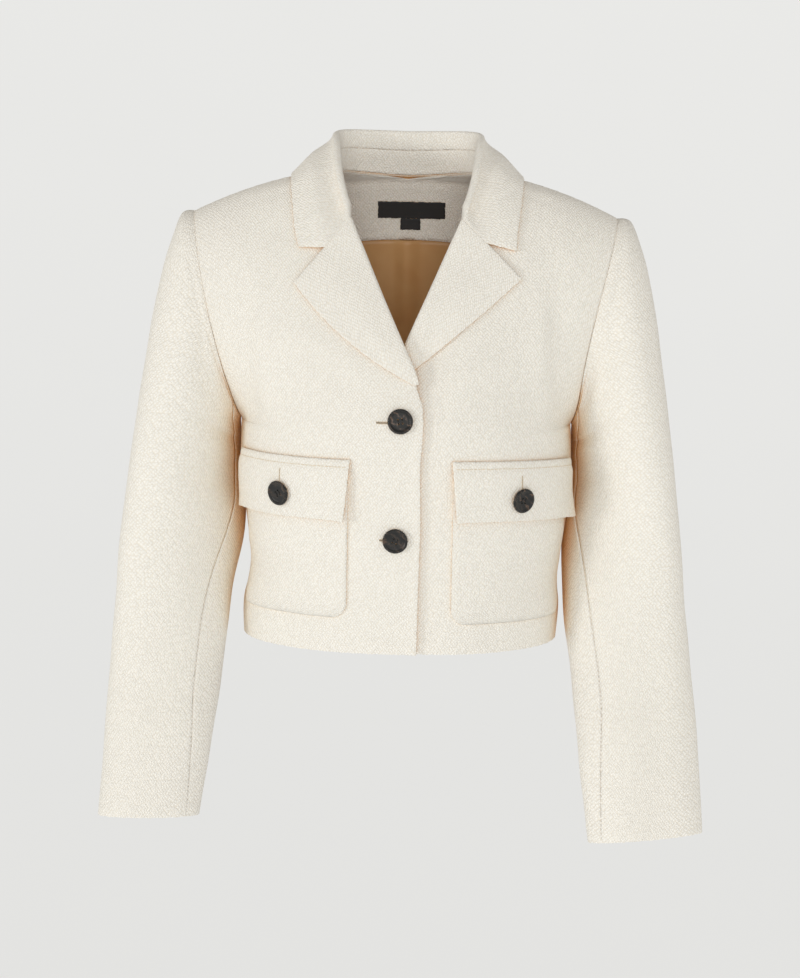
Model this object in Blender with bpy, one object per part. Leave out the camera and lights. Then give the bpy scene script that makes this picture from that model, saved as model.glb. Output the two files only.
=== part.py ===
"""Cropped tweed jacket, filled out with no wearer.

Frame: +X is the wearer's left, -Y the front, +Z up. The origin lies between the two shoulders,
where the wearer holds the jacket up. Sizes are in millimetres and are turned to metres when a
mesh is made. "Own x" is the distance from the centre line towards a piece's own side, so the
right and the left of a pair share one set of sizes.

The body is a fan of rows. Each row runs from the middle to the side seam below the underarm, and
from the middle to the armhole above it, so the rows turn from level at the underarm to the slope
of the shoulder seam at the top. What is sewn on a front or the back lies on the same rows.
"""
import math

import bmesh
import bpy
import numpy as np
from mathutils import Matrix, Vector

MM = 0.001

# ---------------------------------------------------------------- cloth
TWEED = 2.2                 # wall of the tweed pieces
SATIN = 1.0                 # wall of the lining
TAPE = 0.8                  # wall of the woven labels
SEAM_GAP = 0.3              # between pieces that are sewn together

# ---------------------------------------------------------------- body
HEM_Z = -452.0
UNDERARM_X, UNDERARM_Z = 160.0, -238.0
SHOULDER_X, SHOULDER_Z = 208.0, -36.0       # top of the armhole
ARMHOLE_DEPTH = 56.5                        # half its width from front to back
ARMHOLE_SCOOP = {"front": 4.5, "back": 9.0}
SECTION_FULLNESS = 0.6                      # 0.55 is an ellipse, more is squarer
SHOULDER_FULLNESS = 0.55                    # the same for the rows that end on top of the shoulder
ROW_DROP_POWER = 2.2                        # how late a row drops towards the armhole
LEAN_POWER = 1.6                            # how soon a row turns to face the side

BODY_WIDTHS = (
    # height, half width
    (-452, 155.5), (-420, 156.0), (-385, 148.5), (-352, 152.0), (-330, 155.0), (-285, 160.0),
    (-238, 160.0),
)
LEFT_FULLNESS = (
    # height, how much further out the left side stands than the right
    (-452, 1.5), (-438, 2.0), (-408, 4.5), (-385, 8.0), (-359, 9.5), (-341, 10.0), (-319, 9.0),
    (-289, 7.6), (-250, 6.5), (-238, 6.0), (-224, 5.0), (-210, 3.0), (-195, 0.0), (12, 0.0),
)
FULLNESS_START, FULLNESS_RUN = 60.0, 95.0
BODY_DEPTHS = {
    # height, depth at the middle
    "front": ((-452, 112), (-378, 115), (-330, 120), (-270, 127), (-224, 126), (-185, 118),
              (-150, 106), (-110, 88), (-75, 71), (-44, 57), (-20, 43), (-3, 30), (8.5, 15), (12, 0)),
    "back": ((-452, 94), (-378, 90), (-330, 93), (-270, 99), (-224, 104), (-190, 105), (-150, 103),
             (-110, 99), (-68, 92), (-35, 83), (-12, 71), (1, 59), (9, 35), (12, 0)),
}
ROW_HEIGHTS = {
    # angle round the armhole at the row's outer end, the row's height at the middle
    "front": ((0, 12), (15, 8.5), (30, -3), (60, -44), (90, -98), (120, -152), (150, -197),
              (180, -238)),
    "back": ((0, 12), (15, 9), (28, 1), (60, -38), (90, -94), (120, -149), (150, -195),
             (180, -238)),
}
LOW_ROWS = (-452, -435, -418, -403, -389, -361, -333, -304, -276, -262, -250)
ARM_ROWS = {
    "front": (180, 172, 164, 156, 148, 140, 131, 122, 113, 104, 94, 84, 74, 64, 54, 45, 36, 26, 16,
              7, 0),
    "back": (180, 165, 150, 135, 120, 105, 90, 75, 62, 50, 39, 28, 26.9, 25.5, 22.4, 19, 15, 11, 7.7,
             5, 1.2, 0),
}
BACK_COLUMNS = 9            # in each half of the back

# ---------------------------------------------------------------- front edge, lapel and neck
ROLL_LINE = (
    # height, own x of the front edge below the break and of the roll above it
    (-452, -16.8), (-380, -17.6), (-325, -18.4), (-275, -17.2), (-206, -18.0), (-180, -12.5),
    (-155, -1.0), (-110, 20.0), (-72, 37.0), (-35, 53.5), (-14, 61.5), (8, 69.0),
)
ROLL_ALLOWANCE = 3.2        # above the break the front's cut edge lies this far behind the roll
ALLOWANCE_Z = (-212.0, -194.0)
NECK_HALF_WIDTH = 72.2
BACK_NECK_ANGLE = 28.0      # the back neck dips to this row of the back
BREAK_Z = -190.0            # where the lapel starts to turn back
GORGE_Z = -37.4             # where the seam of collar and lapel meets the roll
NOTCH_X = 77.5
LAPEL_TIP = {"right": (105.5, -99.0), "left": (113.5, -92.0)}
LAPEL_BELLY = {"right": (60.0, -157.0), "left": (46.0, -149.0)}
LAPEL_START = 5.0           # width of the lapel at the break
LAPEL_RISE = 0.2            # share of the lapel over which it rises off the front
LAPEL_ROWS, LAPEL_COLUMNS = 12, 5
LAPEL_WRAP = (
    # distance from the roll, height of the visible face over the front
    (1.0, -2.0), (0.1, -0.6), (0.0, 1.0), (0.6, 3.1), (2.4, 4.7),
)
LAPEL_LIFT = {"roll": 5.2, "edge": 3.2, "break": 3.0}
TUCK = {"overlap": 2.7, "break": 8.0}       # how far the left front lies under the right one
TUCK_FADE = {
    # own x where it starts to fade, and the width over which it fades
    "overlap": (22.0, 32.0), "break": (8.0, 64.0),
}
TUCK_BREAK_Z, TUCK_BREAK_REACH = -168.0, 38.0

# ---------------------------------------------------------------- collar
ROLL_RADIUS = 4.0
LEAF_LIFT = 3.4             # the leaf's visible face over the body
LEAF_FULLNESS = 3.0
COLLAR_CORNER = {"right": (102.0, -66.0), "left": (107.0, -66.0)}
COLLAR = (
    # station, crest of the roll (own x, y, z), armhole angle of the row at the neck seam
    # (negative is the back), angle and own x at the leaf's edge, share of the inner leg that
    # is stand
    (0, (0.0, 52.0, 44.0, -28.0, -35.0, 0.0, 0.60)),
    (1, (30.0, 50.5, 44.6, -25.5, -33.5, 34.0, 0.60)),
    (2, (54.0, 43.0, 45.0, -19.0, -29.0, 66.0, 0.60)),
    (3, (66.5, 31.0, 44.4, -11.0, -21.0, 92.0, 0.60)),
    (4, (71.2, 17.0, 42.2, -5.0, -11.0, 107.0, 0.58)),
    (5, (70.5, -1.0, 35.5, 3.0, 1.0, 112.0, 0.54)),
    (6, (69.0, -17.0, 24.5, 12.0, 15.0, 112.0, 0.46)),
    (7, (66.5, -34.0, 8.0, 25.0, 32.0, 110.5, 0.34)),
    (8, (61.3, -47.5, -12.5, 38.0, 48.0, 108.0, 0.20)),
    (9, (57.2, -54.0, -24.5, 47.0, 57.0, 106.0, 0.10)),
)
FALL_COLUMNS = (0, 0.35, 0.7, 1, 1.5, 2, 2.5, 3, 3.5, 4)     # from the edge to the crest's far side
STAND_ROWS = 3
UPRIGHT_STATIONS = (3, 9)   # the collar stands upright at the back and lies on the front by the last
GORGE_RUN = 9.0             # along the gorge seam from the roll to the flat of the collar
NECK_STEP = 0.4             # in degrees round the armhole, to find the neck seam's direction
NECK_END = 0.01             # the step stops this far short of the middle of the back

# ---------------------------------------------------------------- pockets and buttons
POCKET_X, POCKET_END = 50.0, 187.0          # inner edge, and the outer edge round the front
POCKET_TOP = -276.0
POCKET_BOTTOM = {"right": -418.0, "left": -423.0}
POCKET_CORNER = 15.0
CORNER_ROWS = (0.0, 1.1, 4.4, 9.3)          # heights of the rows in a rounded corner
FRONT_COLUMNS = (3, 7, 2)                   # beside, across and beyond the pocket
FLAP_INNER, FLAP_SLANT = 49.0, 4.5          # the flap's inner end leans out on the way down
FLAP_END = 190.0
FLAP_Z = (-262.0, -319.5)
FLAP_LIFT = (
    # share of the way down, height of the visible face over the front
    (0.0, 2.6), (0.12, 4.4), (0.24, 5.5), (0.6, 6.0), (1.0, 6.8),
)
FLAP_CORNER_LIFT = {
    # how far the lower corners stand off: inner, outer
    "right": (4.0, 3.0), "left": (2.0, 6.0),
}
FLAP_DROOP = {"right": 1.5, "left": 5.5}    # how much lower the flap's outer end hangs
FLAP_CORNER_POWER = 4       # how close to the ends the corners start to stand off
FLAP_ROWS = (1.0, 0.8, 0.6, 0.4, 0.24, 0.12, 0.0)           # shares of the way down
FRONT_BUTTONS = {
    # own x and height on the right front
    "top": (1.5, -226.2), "low": (4.3, -339.7),
}
POCKET_BUTTONS = {
    # distance along the cloth from the middle, height
    "right": (119.3, -298.4), "left": (113.8, -300.6),
}
BUTTON_LIFT = 0.5
BUTTON_PROFILE = (
    # radius, height
    (0.0, 0.0), (9.6, 0.0), (11.4, 0.7), (12.0, 1.8), (12.0, 2.7), (11.3, 3.5), (10.2, 3.6),
    (9.2, 3.0), (8.2, 2.5), (0.0, 2.3),
)
BUTTON_SIDES = 20
HOLE_RADIUS, HOLE_OFFSET, HOLE_SIDES = 1.1, 1.9, 8
DRILL_LENGTH = 11.0         # the holes are cut right through, from below the back to above the rim

# ---------------------------------------------------------------- inside
FACING_ROW, FACING_COLUMN = 75, 4           # its lower edge and its outer edge on the back's grid
LINING_HEM_ROW, LINING_COLUMN = 1, 8
PLEAT_DEPTH, PLEAT_WIDTH = 3.0, 0.5         # its width in columns of the back
PLEAT_ROWS = (150, 90)                      # the pleat fades out between these rows
LINING_TRIM = 0.015         # share of its last span by which the lining stops short of the facing
LABEL_ROWS = 3
LABEL_MARGIN = 0.1          # a label takes no column of the facing this close to its own end
LABEL = {"x": (-30.0, 38.0), "z": (-42.0, -25.0)}
SIZE_TAB = {"x": (-7.0, 13.0), "z": (-54.0, -42.6)}

# ---------------------------------------------------------------- sleeves
SLEEVE = (
    # outer x, z, inner x, z, middle y, half depth, how far the inner side lies behind the middle
    (208.0, -36.0, 160.0, -238.0, 0.0, 56.5, 0.0),
    (214.5, -35.8, 160.5, -239.0, 0.0, 58.0, 0.5),
    (220.0, -38.5, 160.9, -240.0, 0.0, 59.5, 1.5),
    (224.0, -46.0, 161.2, -241.4, 0.0, 61.0, 3.0),
    (228.6, -60.0, 161.5, -243.5, 0.0, 62.5, 5.0),
    (236.2, -86.0, 161.7, -246.0, 0.0, 64.5, 8.0),
    (244.2, -123.0, 161.8, -249.5, 0.0, 66.0, 12.0),
    (251.5, -169.0, 161.8, -254.5, -1.0, 66.5, 17.0),
    (258.8, -219.0, 161.5, -263.0, -2.0, 66.0, 22.0),
    (265.5, -268.0, 160.6, -285.0, -4.0, 62.5, 26.0),
    (271.0, -313.0, 156.5, -315.0, -8.0, 56.5, 28.0),
    (276.3, -357.0, 157.0, -355.0, -15.0, 50.5, 25.0),
    (281.4, -419.0, 167.0, -414.0, -27.0, 43.5, 14.0),
    (287.7, -486.0, 173.0, -483.0, -42.0, 37.5, 5.0),
    (292.8, -547.0, 179.8, -547.0, -59.0, 33.5, 0.0),
    (297.5, -629.0, 192.0, -633.0, -80.0, 29.5, 0.0),
)
CUFF_POSE = {
    # how the cuff ends off that table: outer x, z, inner x, z, middle y, half depth, how far
    # the inner side lies behind
    "right": (-5.0, 3.0, 0.8, 9.0, 0.0, 3.0, 0.0), "left": (5.5, -2.0, -1.2, -11.0, 0.0, -2.0, 0.0),
}
CUFF_POSE_START = 0.72
LEFT_SIDE = (
    # share of the way down, how much further out the left sleeve's inner side hangs
    (0.0, 6.5), (0.5, 6.5), (0.6, 7.5), (0.667, 8.0), (0.733, 4.5), (0.8, -4.0), (0.867, 0.0),
    (1.0, 0.0),
)
SIDE_START = 0.3            # above this the left sleeve leaves the armhole's own line
SLEEVE_TILT = 10.0          # the cuff's front edge is higher than its back edge, in degrees
TILT_START = 0.6
FRONT_SEAM = (
    # share of the way down the sleeve, angle from the outer side towards the front
    (0.0, 146.0), (0.35, 150.0), (0.52, 155.0), (0.66, 150.0), (0.8, 127.0), (0.9, 126.0),
    (1.0, 142.0),
)
BACK_SEAM = -116.0
SEAM_ANGLE = 0.23           # half a seam's gap as an angle on a sleeve of middling width
SLEEVE_COLUMNS = {"top": 14, "under": 7}
CAP_ROWS, ARM_LENGTH_ROWS = 8, 8
SCOOP_FADE = 0.25

# ---------------------------------------------------------------- finishes: colour, roughness
FINISHES = {
    "tweed": ((0.84, 0.79, 0.70), 0.9),
    "satin": ((0.52, 0.38, 0.24), 0.45),
    "label_cloth": ((0.012, 0.012, 0.014), 0.6),
    "horn": ((0.035, 0.028, 0.026), 0.25),
}

SIDES = {"front": -1.0, "back": 1.0}
ARMHOLE_AXIS = np.array([SHOULDER_Z - UNDERARM_Z, 0.0, UNDERARM_X - SHOULDER_X])
ARMHOLE_AXIS /= np.linalg.norm(ARMHOLE_AXIS)
BISECTIONS = 30
NORMAL_STEP = 0.004
ARC_SAMPLES = 301


# ================================================================ curves
def curve(table, at):
    """A smooth line through a table's rows: the first column is the key, the second is read."""
    keys = np.array([row[0] for row in table], float)
    values = np.array([row[1] for row in table], float)
    at = np.asarray(at, float)
    slopes = np.gradient(values, keys, axis=0)
    low = np.clip(np.searchsorted(keys, at, side="right") - 1, 0, len(keys) - 2)
    span = keys[low + 1] - keys[low]
    f = np.clip((at - keys[low]) / span, 0.0, 1.0)
    if values.ndim > 1:
        f, span = f[..., None], span[..., None]
    start = (1 + 2 * f) * (1 - f) ** 2 * values[low] + f * (1 - f) ** 2 * span * slopes[low]
    end = f ** 2 * (3 - 2 * f) * values[low + 1] + f ** 2 * (f - 1) * span * slopes[low + 1]
    return start + end


def smooth(f):
    """0 below 0, 1 above 1, and a soft step between."""
    f = np.clip(f, 0.0, 1.0)
    return f * f * (3 - 2 * f)


def unit(vectors):
    return vectors / np.linalg.norm(vectors, axis=-1, keepdims=True)


def solve(function, target, low, high):
    """Where a rising function meets its target, for whole arrays."""
    target = np.asarray(target, float)
    low = np.full(target.shape, float(low))
    high = np.full(target.shape, float(high))
    for _ in range(BISECTIONS):
        middle = (low + high) / 2
        below = function(middle) < target
        low = np.where(below, middle, low)
        high = np.where(below, high, middle)
    return (low + high) / 2


# ================================================================ the body's form
def armhole(angle, side):
    """Point of the armhole: angle 0 at the shoulder, 180 at the underarm."""
    a = np.radians(angle)
    x = (SHOULDER_X + UNDERARM_X) / 2 + (SHOULDER_X - UNDERARM_X) / 2 * np.cos(a)
    y = SIDES[side] * ARMHOLE_DEPTH * np.sin(a)
    z = (SHOULDER_Z + UNDERARM_Z) / 2 + (SHOULDER_Z - UNDERARM_Z) / 2 * np.cos(a)
    return x + ARMHOLE_SCOOP[side] * np.sin(a) ** 2, y, z


def level_of_angle(angle):
    """Levels run from -1 at the hem, past 0 at the underarm, to 1 at the shoulder seam."""
    return 1 - np.asarray(angle, float) / 180


def level_of_height(z):
    """Level of a row below the underarm, where rows are flat."""
    return (np.asarray(z, float) - UNDERARM_Z) / (UNDERARM_Z - HEM_Z)


def body(level, t, side):
    """Point of the body's outer face: t runs from 0 at the middle to 1 at the side or armhole."""
    level, t = np.broadcast_arrays(np.asarray(level, float), np.asarray(t, float))
    sign = SIDES[side]
    below = level < 0
    angle = 180 * (1 - np.clip(level, 0, 1))
    low_z = UNDERARM_Z + np.minimum(level, 0) * (UNDERARM_Z - HEM_Z)
    arm_x, arm_y, arm_z = armhole(angle, side)
    outer_x = np.where(below, curve(BODY_WIDTHS, low_z), arm_x)
    outer_z = np.where(below, low_z, arm_z)
    middle_z = np.where(below, low_z, curve(ROW_HEIGHTS[side], angle))
    middle_y = sign * curve(BODY_DEPTHS[side], middle_z)
    lean = math.pi / 2 * (angle / 180) ** LEAN_POWER
    bend = (np.abs(middle_y) - np.abs(arm_y)) * np.sin(lean)
    reach = SECTION_FULLNESS * np.hypot(bend, SHOULDER_FULLNESS * outer_x * np.cos(lean))
    s = np.abs(t)
    near, far, end = 3 * (1 - s) ** 2 * s, 3 * (1 - s) * s ** 2, s ** 3
    x = near * SECTION_FULLNESS * outer_x + far * (outer_x - reach * np.cos(lean)) + end * outer_x
    y = (1 - far - end) * middle_y + far * (arm_y + sign * reach * np.sin(lean)) + end * arm_y
    z = middle_z + (outer_z - middle_z) * (x / outer_x) ** ROW_DROP_POWER
    return np.stack([x * np.sign(t), y, z], -1)


def body_normal(level, t, side):
    """Outward direction of the body's face, from two short steps across it."""
    level, t = np.broadcast_arrays(np.asarray(level, float), np.asarray(t, float))
    above, under = np.clip(level + NORMAL_STEP, -1, 1), np.clip(level - NORMAL_STEP, -1, 1)
    beyond, before = np.clip(t + NORMAL_STEP, -1, 1), np.clip(t - NORMAL_STEP, -1, 1)
    up = body(above, t, side) - body(under, t, side)
    out = body(level, beyond, side) - body(level, before, side)
    return unit(-SIDES[side] * np.cross(out, up))


def t_at_x(level, x, side):
    """How far along a row own x lies."""
    x = np.asarray(x, float)
    level = np.broadcast_to(level, x.shape)
    return np.sign(x) * solve(lambda t: body(level, t, side)[..., 0], np.abs(x), 0, 1)


def level_at(x, z, side):
    """Level of the row that passes through own x and z."""
    return solve(lambda level: body(level, t_at_x(level, x, side), side)[..., 2], z, -1, 1)


def tuck(x, z, hand):
    """How far the left front lies inside the body's form, to pass under the right one."""
    if hand == "right":
        return np.zeros_like(x)
    share = {name: 1 - smooth((x - start) / width) for name, (start, width) in TUCK_FADE.items()}
    at_break = np.exp(-((z - TUCK_BREAK_Z) / TUCK_BREAK_REACH) ** 2) * share["break"]
    return TUCK["overlap"] * share["overlap"] + TUCK["break"] * at_break


def fullness(x, z):
    """How much further out the left side stands at own x and z."""
    return curve(LEFT_FULLNESS, z) * smooth((x - FULLNESS_START) / FULLNESS_RUN)


def on_body(level, t, side, lift=0.0, hand="right"):
    """Point that stands a lift above the body's face, on the side and hand given."""
    point = body(level, t, side)
    lift = np.broadcast_to(np.asarray(lift, float), point.shape[:-1])
    if side == "front":
        lift = lift - tuck(point[..., 0], point[..., 2], hand)
    point = point + body_normal(level, t, side) * lift[..., None]
    if hand == "left":
        point[..., 0] += fullness(point[..., 0], point[..., 2])
    return point


def over_front(x, z, lift, hand):
    """Point that stands a lift above the front at own x and z."""
    x, z, lift = np.broadcast_arrays(np.asarray(x, float), np.asarray(z, float), lift)
    level = level_at(x, z, "front")
    return on_body(level, t_at_x(level, x, "front"), "front", lift, hand)


def roll_x(z):
    return curve(ROLL_LINE, z)


def front_edge_t(level):
    """Where the front's cut edge crosses each row."""
    low, high = ALLOWANCE_Z
    x = np.zeros_like(level)
    for _ in range(BISECTIONS):
        z = body(level, t_at_x(level, x, "front"), "front")[..., 2]
        x = (x + roll_x(z) + ROLL_ALLOWANCE * smooth((z - low) / (high - low))) / 2
    return t_at_x(level, x, "front")


def back_neck_t(level):
    """Where the back neck seam crosses each row; on the rows below it, the middle."""
    angle = 180 * (1 - level)
    x = NECK_HALF_WIDTH * np.sqrt(np.clip(1 - (angle / BACK_NECK_ANGLE) ** 2, 0, 1))
    return t_at_x(level, x, "back")


def arc_length(level, t):
    """Length along one row of the front from the middle to each t."""
    fine = np.linspace(0, 1, ARC_SAMPLES)
    points = body(level, fine, "front")
    steps = np.linalg.norm(np.diff(points, axis=0), axis=1)
    return np.interp(t, fine, np.concatenate([[0], np.cumsum(steps)]))


def arc_to_t(level, arc):
    """How far along one row of the front a tape laid from the middle reaches."""
    fine = np.linspace(0, 1, ARC_SAMPLES)
    return np.interp(arc, arc_length(level, fine), fine)


# ================================================================ cloth from grids
def facing_out(grid):
    """Outward direction at each point of a grid whose columns x rows point out."""
    across = grid[1:, 1:] - grid[:-1, :-1]
    against = grid[1:, :-1] - grid[:-1, 1:]
    facets = unit(np.cross(across, against))
    around = np.pad(facets, ((1, 1), (1, 1), (0, 0)), mode="reflect", reflect_type="odd")
    return unit(around[1:, 1:] + around[1:, :-1] + around[:-1, 1:] + around[:-1, :-1])


def thick(grid, thickness=TWEED):
    """A sheet: for each point of a grid, the point of its visible face and of its hidden face."""
    return np.stack([grid, grid - facing_out(grid) * thickness], axis=2)


def mirrored(sheet):
    """The same sheet on the other side of the centre line, still facing out."""
    return sheet[:, ::-1] * np.array([-1, 1, 1])


def stay_beside(edge, axis):
    """Keep the hidden face of a sheet's edge from leaning past the seam it is sewn to."""
    lean = (edge[:, 1] - edge[:, 0]) @ axis
    edge[:, 1] -= np.maximum(lean, 0)[:, None] * axis


def stand_square(edge, axis):
    """Keep the wall of a sheet's edge square to the seam it is sewn to."""
    lean = (edge[:, 1] - edge[:, 0]) @ axis
    edge[:, 1] -= lean[:, None] * axis


def resample(grid, rows, columns):
    """Points of a grid at fractional rows and columns, on the grid's own facets."""
    rows, columns = np.broadcast_arrays(np.asarray(rows, float), np.asarray(columns, float))
    r = np.clip(rows.astype(int), 0, grid.shape[0] - 2)
    c = np.clip(columns.astype(int), 0, grid.shape[1] - 2)
    shape = rows.shape + (1,) * (grid.ndim - 2)
    f, g = (rows - r).reshape(shape), (columns - c).reshape(shape)
    low = grid[r, c] * (1 - g) + grid[r, c + 1] * g
    high = grid[r + 1, c] * (1 - g) + grid[r + 1, c + 1] * g
    return low * (1 - f) + high * f


def rise(sheet, start, end):
    """How much a diagonal climbs away from the middle: panels that lie on each other are folded
    along the same diagonals."""
    a, b = sheet[(*start, 0)], sheet[(*end, 0)]
    return (abs(b[0]) - abs(a[0])) * (b[2] - a[2])


def sew(name, sheets, finish, hand="left"):
    """One closed body of cloth. Sheets that share points along an edge are sewn into one."""
    index, gathered, faces = {}, [], []
    for sheet in sheets:
        rows, columns = sheet.shape[:2]
        ids = np.empty((rows, columns), int)
        for r, c in np.ndindex(rows, columns):
            key = tuple(np.round(sheet[r, c, 0], 3) + 0.0)
            ids[r, c] = index.setdefault(key, len(index))
            if ids[r, c] == len(gathered):
                gathered.append([])
            gathered[ids[r, c]].append(sheet[r, c])
        for r, c in np.ndindex(rows - 1, columns - 1):
            corners = [(r, c), (r, c + 1), (r + 1, c + 1), (r + 1, c)]
            if rise(sheet, corners[0], corners[2]) < rise(sheet, corners[1], corners[3]):
                corners = corners[1:] + corners[:1]
            first, second, third, fourth = (ids[corner] for corner in corners)
            faces += [[first, second, third], [first, third, fourth]]
    both = np.array([np.mean(copies, axis=0) for copies in gathered])
    count = len(both)
    edges = {pair for face in faces for pair in zip(face, face[1:] + face[:1])}
    rims = [(a, b) for a, b in edges if (b, a) not in edges]
    hidden = [[v + count for v in reversed(face)] for face in faces]
    faces = faces + hidden + [[b, a, a + count, b + count] for a, b in sorted(rims)]
    points = np.concatenate([both[:, 0], both[:, 1]])
    if hand == "right":
        points = points * np.array([-1, 1, 1])
        faces = [face[::-1] for face in faces]
    mesh = bpy.data.meshes.new(name)
    mesh.from_pydata((points * MM).tolist(), [], [[int(v) for v in face] for face in faces])
    mesh.shade_smooth()
    return add_object(name, mesh, finish)


def add_object(name, mesh, finish):
    thing = bpy.data.objects.new(name, mesh)
    thing.data.materials.append(finish_material(finish))
    bpy.context.scene.collection.objects.link(thing)
    return thing


def finish_material(finish):
    """The material of a finish, made once."""
    material = bpy.data.materials.get(finish)
    if material is None:
        colour, roughness = FINISHES[finish]
        material = bpy.data.materials.new(finish)
        material.use_nodes = True
        shader = material.node_tree.nodes["Principled BSDF"]
        shader.inputs["Base Color"].default_value = (*colour, 1.0)
        shader.inputs["Roughness"].default_value = roughness
    return material


# ================================================================ fronts and back
def row_levels(side):
    return np.concatenate([level_of_height(LOW_ROWS), level_of_angle(ARM_ROWS[side])])


def pocket_row(level):
    """t of a front's columns on a row with the pocket: its edges are two of them."""
    beside, across, beyond = FRONT_COLUMNS
    inner = t_at_x(level, np.linspace(float(roll_x(HEM_Z)), POCKET_X, beside + 1), "front")
    start = arc_length(level, inner[-1])
    middle = arc_to_t(level, np.linspace(start, POCKET_END, across + 1))
    outer = arc_to_t(level, np.linspace(POCKET_END, arc_length(level, 1.0), beyond + 1))
    return np.concatenate([inner, middle[1:], outer[1:]])


def front_grid(hand):
    """Grid of a front's visible face, from its front edge to the side seam and armhole."""
    levels = row_levels("front")
    edges = front_edge_t(levels)
    top = level_of_height(FLAP_Z[0])
    rows = []
    for level, edge in zip(levels, edges):
        t = pocket_row(min(level, top))
        share = (t - t[0]) / (1 - t[0])
        rows.append(edge + (1 - edge) * share)
    grid = on_body(levels[:, None], np.array(rows), "front", 0.0, hand)
    grid[..., 1] = np.minimum(grid[..., 1], -SEAM_GAP / 2)
    return grid


def back_grid(hand):
    """Grid of the back's visible face on one half, from the armhole to the middle."""
    levels = row_levels("back")
    inner = back_neck_t(levels)[:, None]
    t = inner + (1 - inner) * np.linspace(1, 0, BACK_COLUMNS + 1)
    grid = on_body(levels[:, None], t, "back", 0.0, hand)
    grid[..., 1] = np.maximum(grid[..., 1], SEAM_GAP / 2)
    return grid


def make_front(hand):
    sheet = thick(front_grid(hand))
    sheet[..., 1] = np.minimum(sheet[..., 1], -SEAM_GAP / 2)
    stay_beside(sheet[:, -1], ARMHOLE_AXIS)
    return sew(f"front_{hand}", [sheet], "tweed", hand)


def make_back():
    halves = []
    for hand in ("left", "right"):
        sheet = thick(back_grid(hand))
        sheet[..., 1] = np.maximum(sheet[..., 1], SEAM_GAP / 2)
        stay_beside(sheet[:, 0], ARMHOLE_AXIS)
        halves.append(sheet)
    return sew("back", [halves[0], mirrored(halves[1])], "tweed")


# ================================================================ inside the back
def inside_back(rows, columns, near, far, hand):
    """Half of a sheet inside the back, its visible face turned in: the distances of its hidden
    and of its visible face from the back's visible face."""
    grid = back_grid(hand)
    inward = -facing_out(grid)
    sheet = np.stack([grid + inward * far, grid + inward * near], axis=2)
    sheet[..., 1] = np.maximum(sheet[..., 1], SEAM_GAP / 2)
    sheet[grid[:, -1, 0] == 0, -1, :, 0] = 0
    sheet = sheet[rows, columns]
    return sheet[:, ::-1]


def make_facing_and_labels():
    first = len(LOW_ROWS) + ARM_ROWS["back"].index(FACING_ROW)
    near = TWEED + SEAM_GAP
    columns = slice(BACK_COLUMNS - FACING_COLUMN, None)
    half = inside_back(slice(first, None), columns, near, near + TWEED, "left")
    sew("back_neck_facing", [half, mirrored(half)], "tweed")

    below_neck = ARM_ROWS["back"].index(BACK_NECK_ANGLE) - ARM_ROWS["back"].index(FACING_ROW) + 1
    whole = np.concatenate([mirrored(half), half[:, 1:]], axis=1)[:below_neck, :, 0]
    inward = facing_out(whole)
    for name, size in (("label", LABEL), ("size_tab", SIZE_TAB)):
        heights = whole[:, FACING_COLUMN, 2]
        row = np.interp(np.mean(size["z"]), heights, np.arange(len(heights)))
        across = resample(whole, np.full(whole.shape[1], row), np.arange(whole.shape[1]))[:, 0]
        ends = np.interp(size["x"], across, np.arange(len(across)))
        low, high = ends[0] + LABEL_MARGIN, ends[1] - LABEL_MARGIN
        inner = [c for c in range(len(across)) if low < c < high] or [np.mean(ends)]
        columns = np.array([ends[0], *inner, ends[1]])
        rows = np.interp(np.linspace(*size["z"], LABEL_ROWS), heights, np.arange(len(heights)))
        points = resample(whole, rows[:, None], columns[None, :])
        out = resample(inward, rows[:, None], columns[None, :])
        sheet = np.stack([points + out * (SEAM_GAP + TAPE), points + out * SEAM_GAP], axis=2)
        sew(name, [sheet], "label_cloth")


def make_lining():
    """The lining of the back, below the facing, with a soft pleat down its middle."""
    last = len(LOW_ROWS) + ARM_ROWS["back"].index(FACING_ROW) + 1
    near = TWEED + SEAM_GAP
    columns = slice(BACK_COLUMNS - LINING_COLUMN, None)
    angles = 180 * (1 - row_levels("back")[LINING_HEM_ROW:last])
    strength = smooth((PLEAT_ROWS[0] - angles) / (PLEAT_ROWS[0] - PLEAT_ROWS[1]))
    places = np.concatenate([[0, PLEAT_WIDTH / 2, PLEAT_WIDTH], np.arange(1, LINING_COLUMN + 1)])
    ridge = PLEAT_DEPTH * strength[:, None] * np.clip(1 - places / PLEAT_WIDTH, 0, 1)
    halves = []
    for hand in ("left", "right"):
        half = inside_back(slice(LINING_HEM_ROW, last), columns, near, near + SATIN, hand)
        half = resample(half, np.arange(half.shape[0])[:, None], places[None, :])
        half[-1] -= (half[-1] - half[-2]) * LINING_TRIM
        inward = unit(half[:, :, 0] - half[:, :, 1])
        halves.append(half + (inward * ridge[..., None])[:, :, None])
    sew("back_lining", [halves[0], mirrored(halves[1])], "satin")


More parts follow.
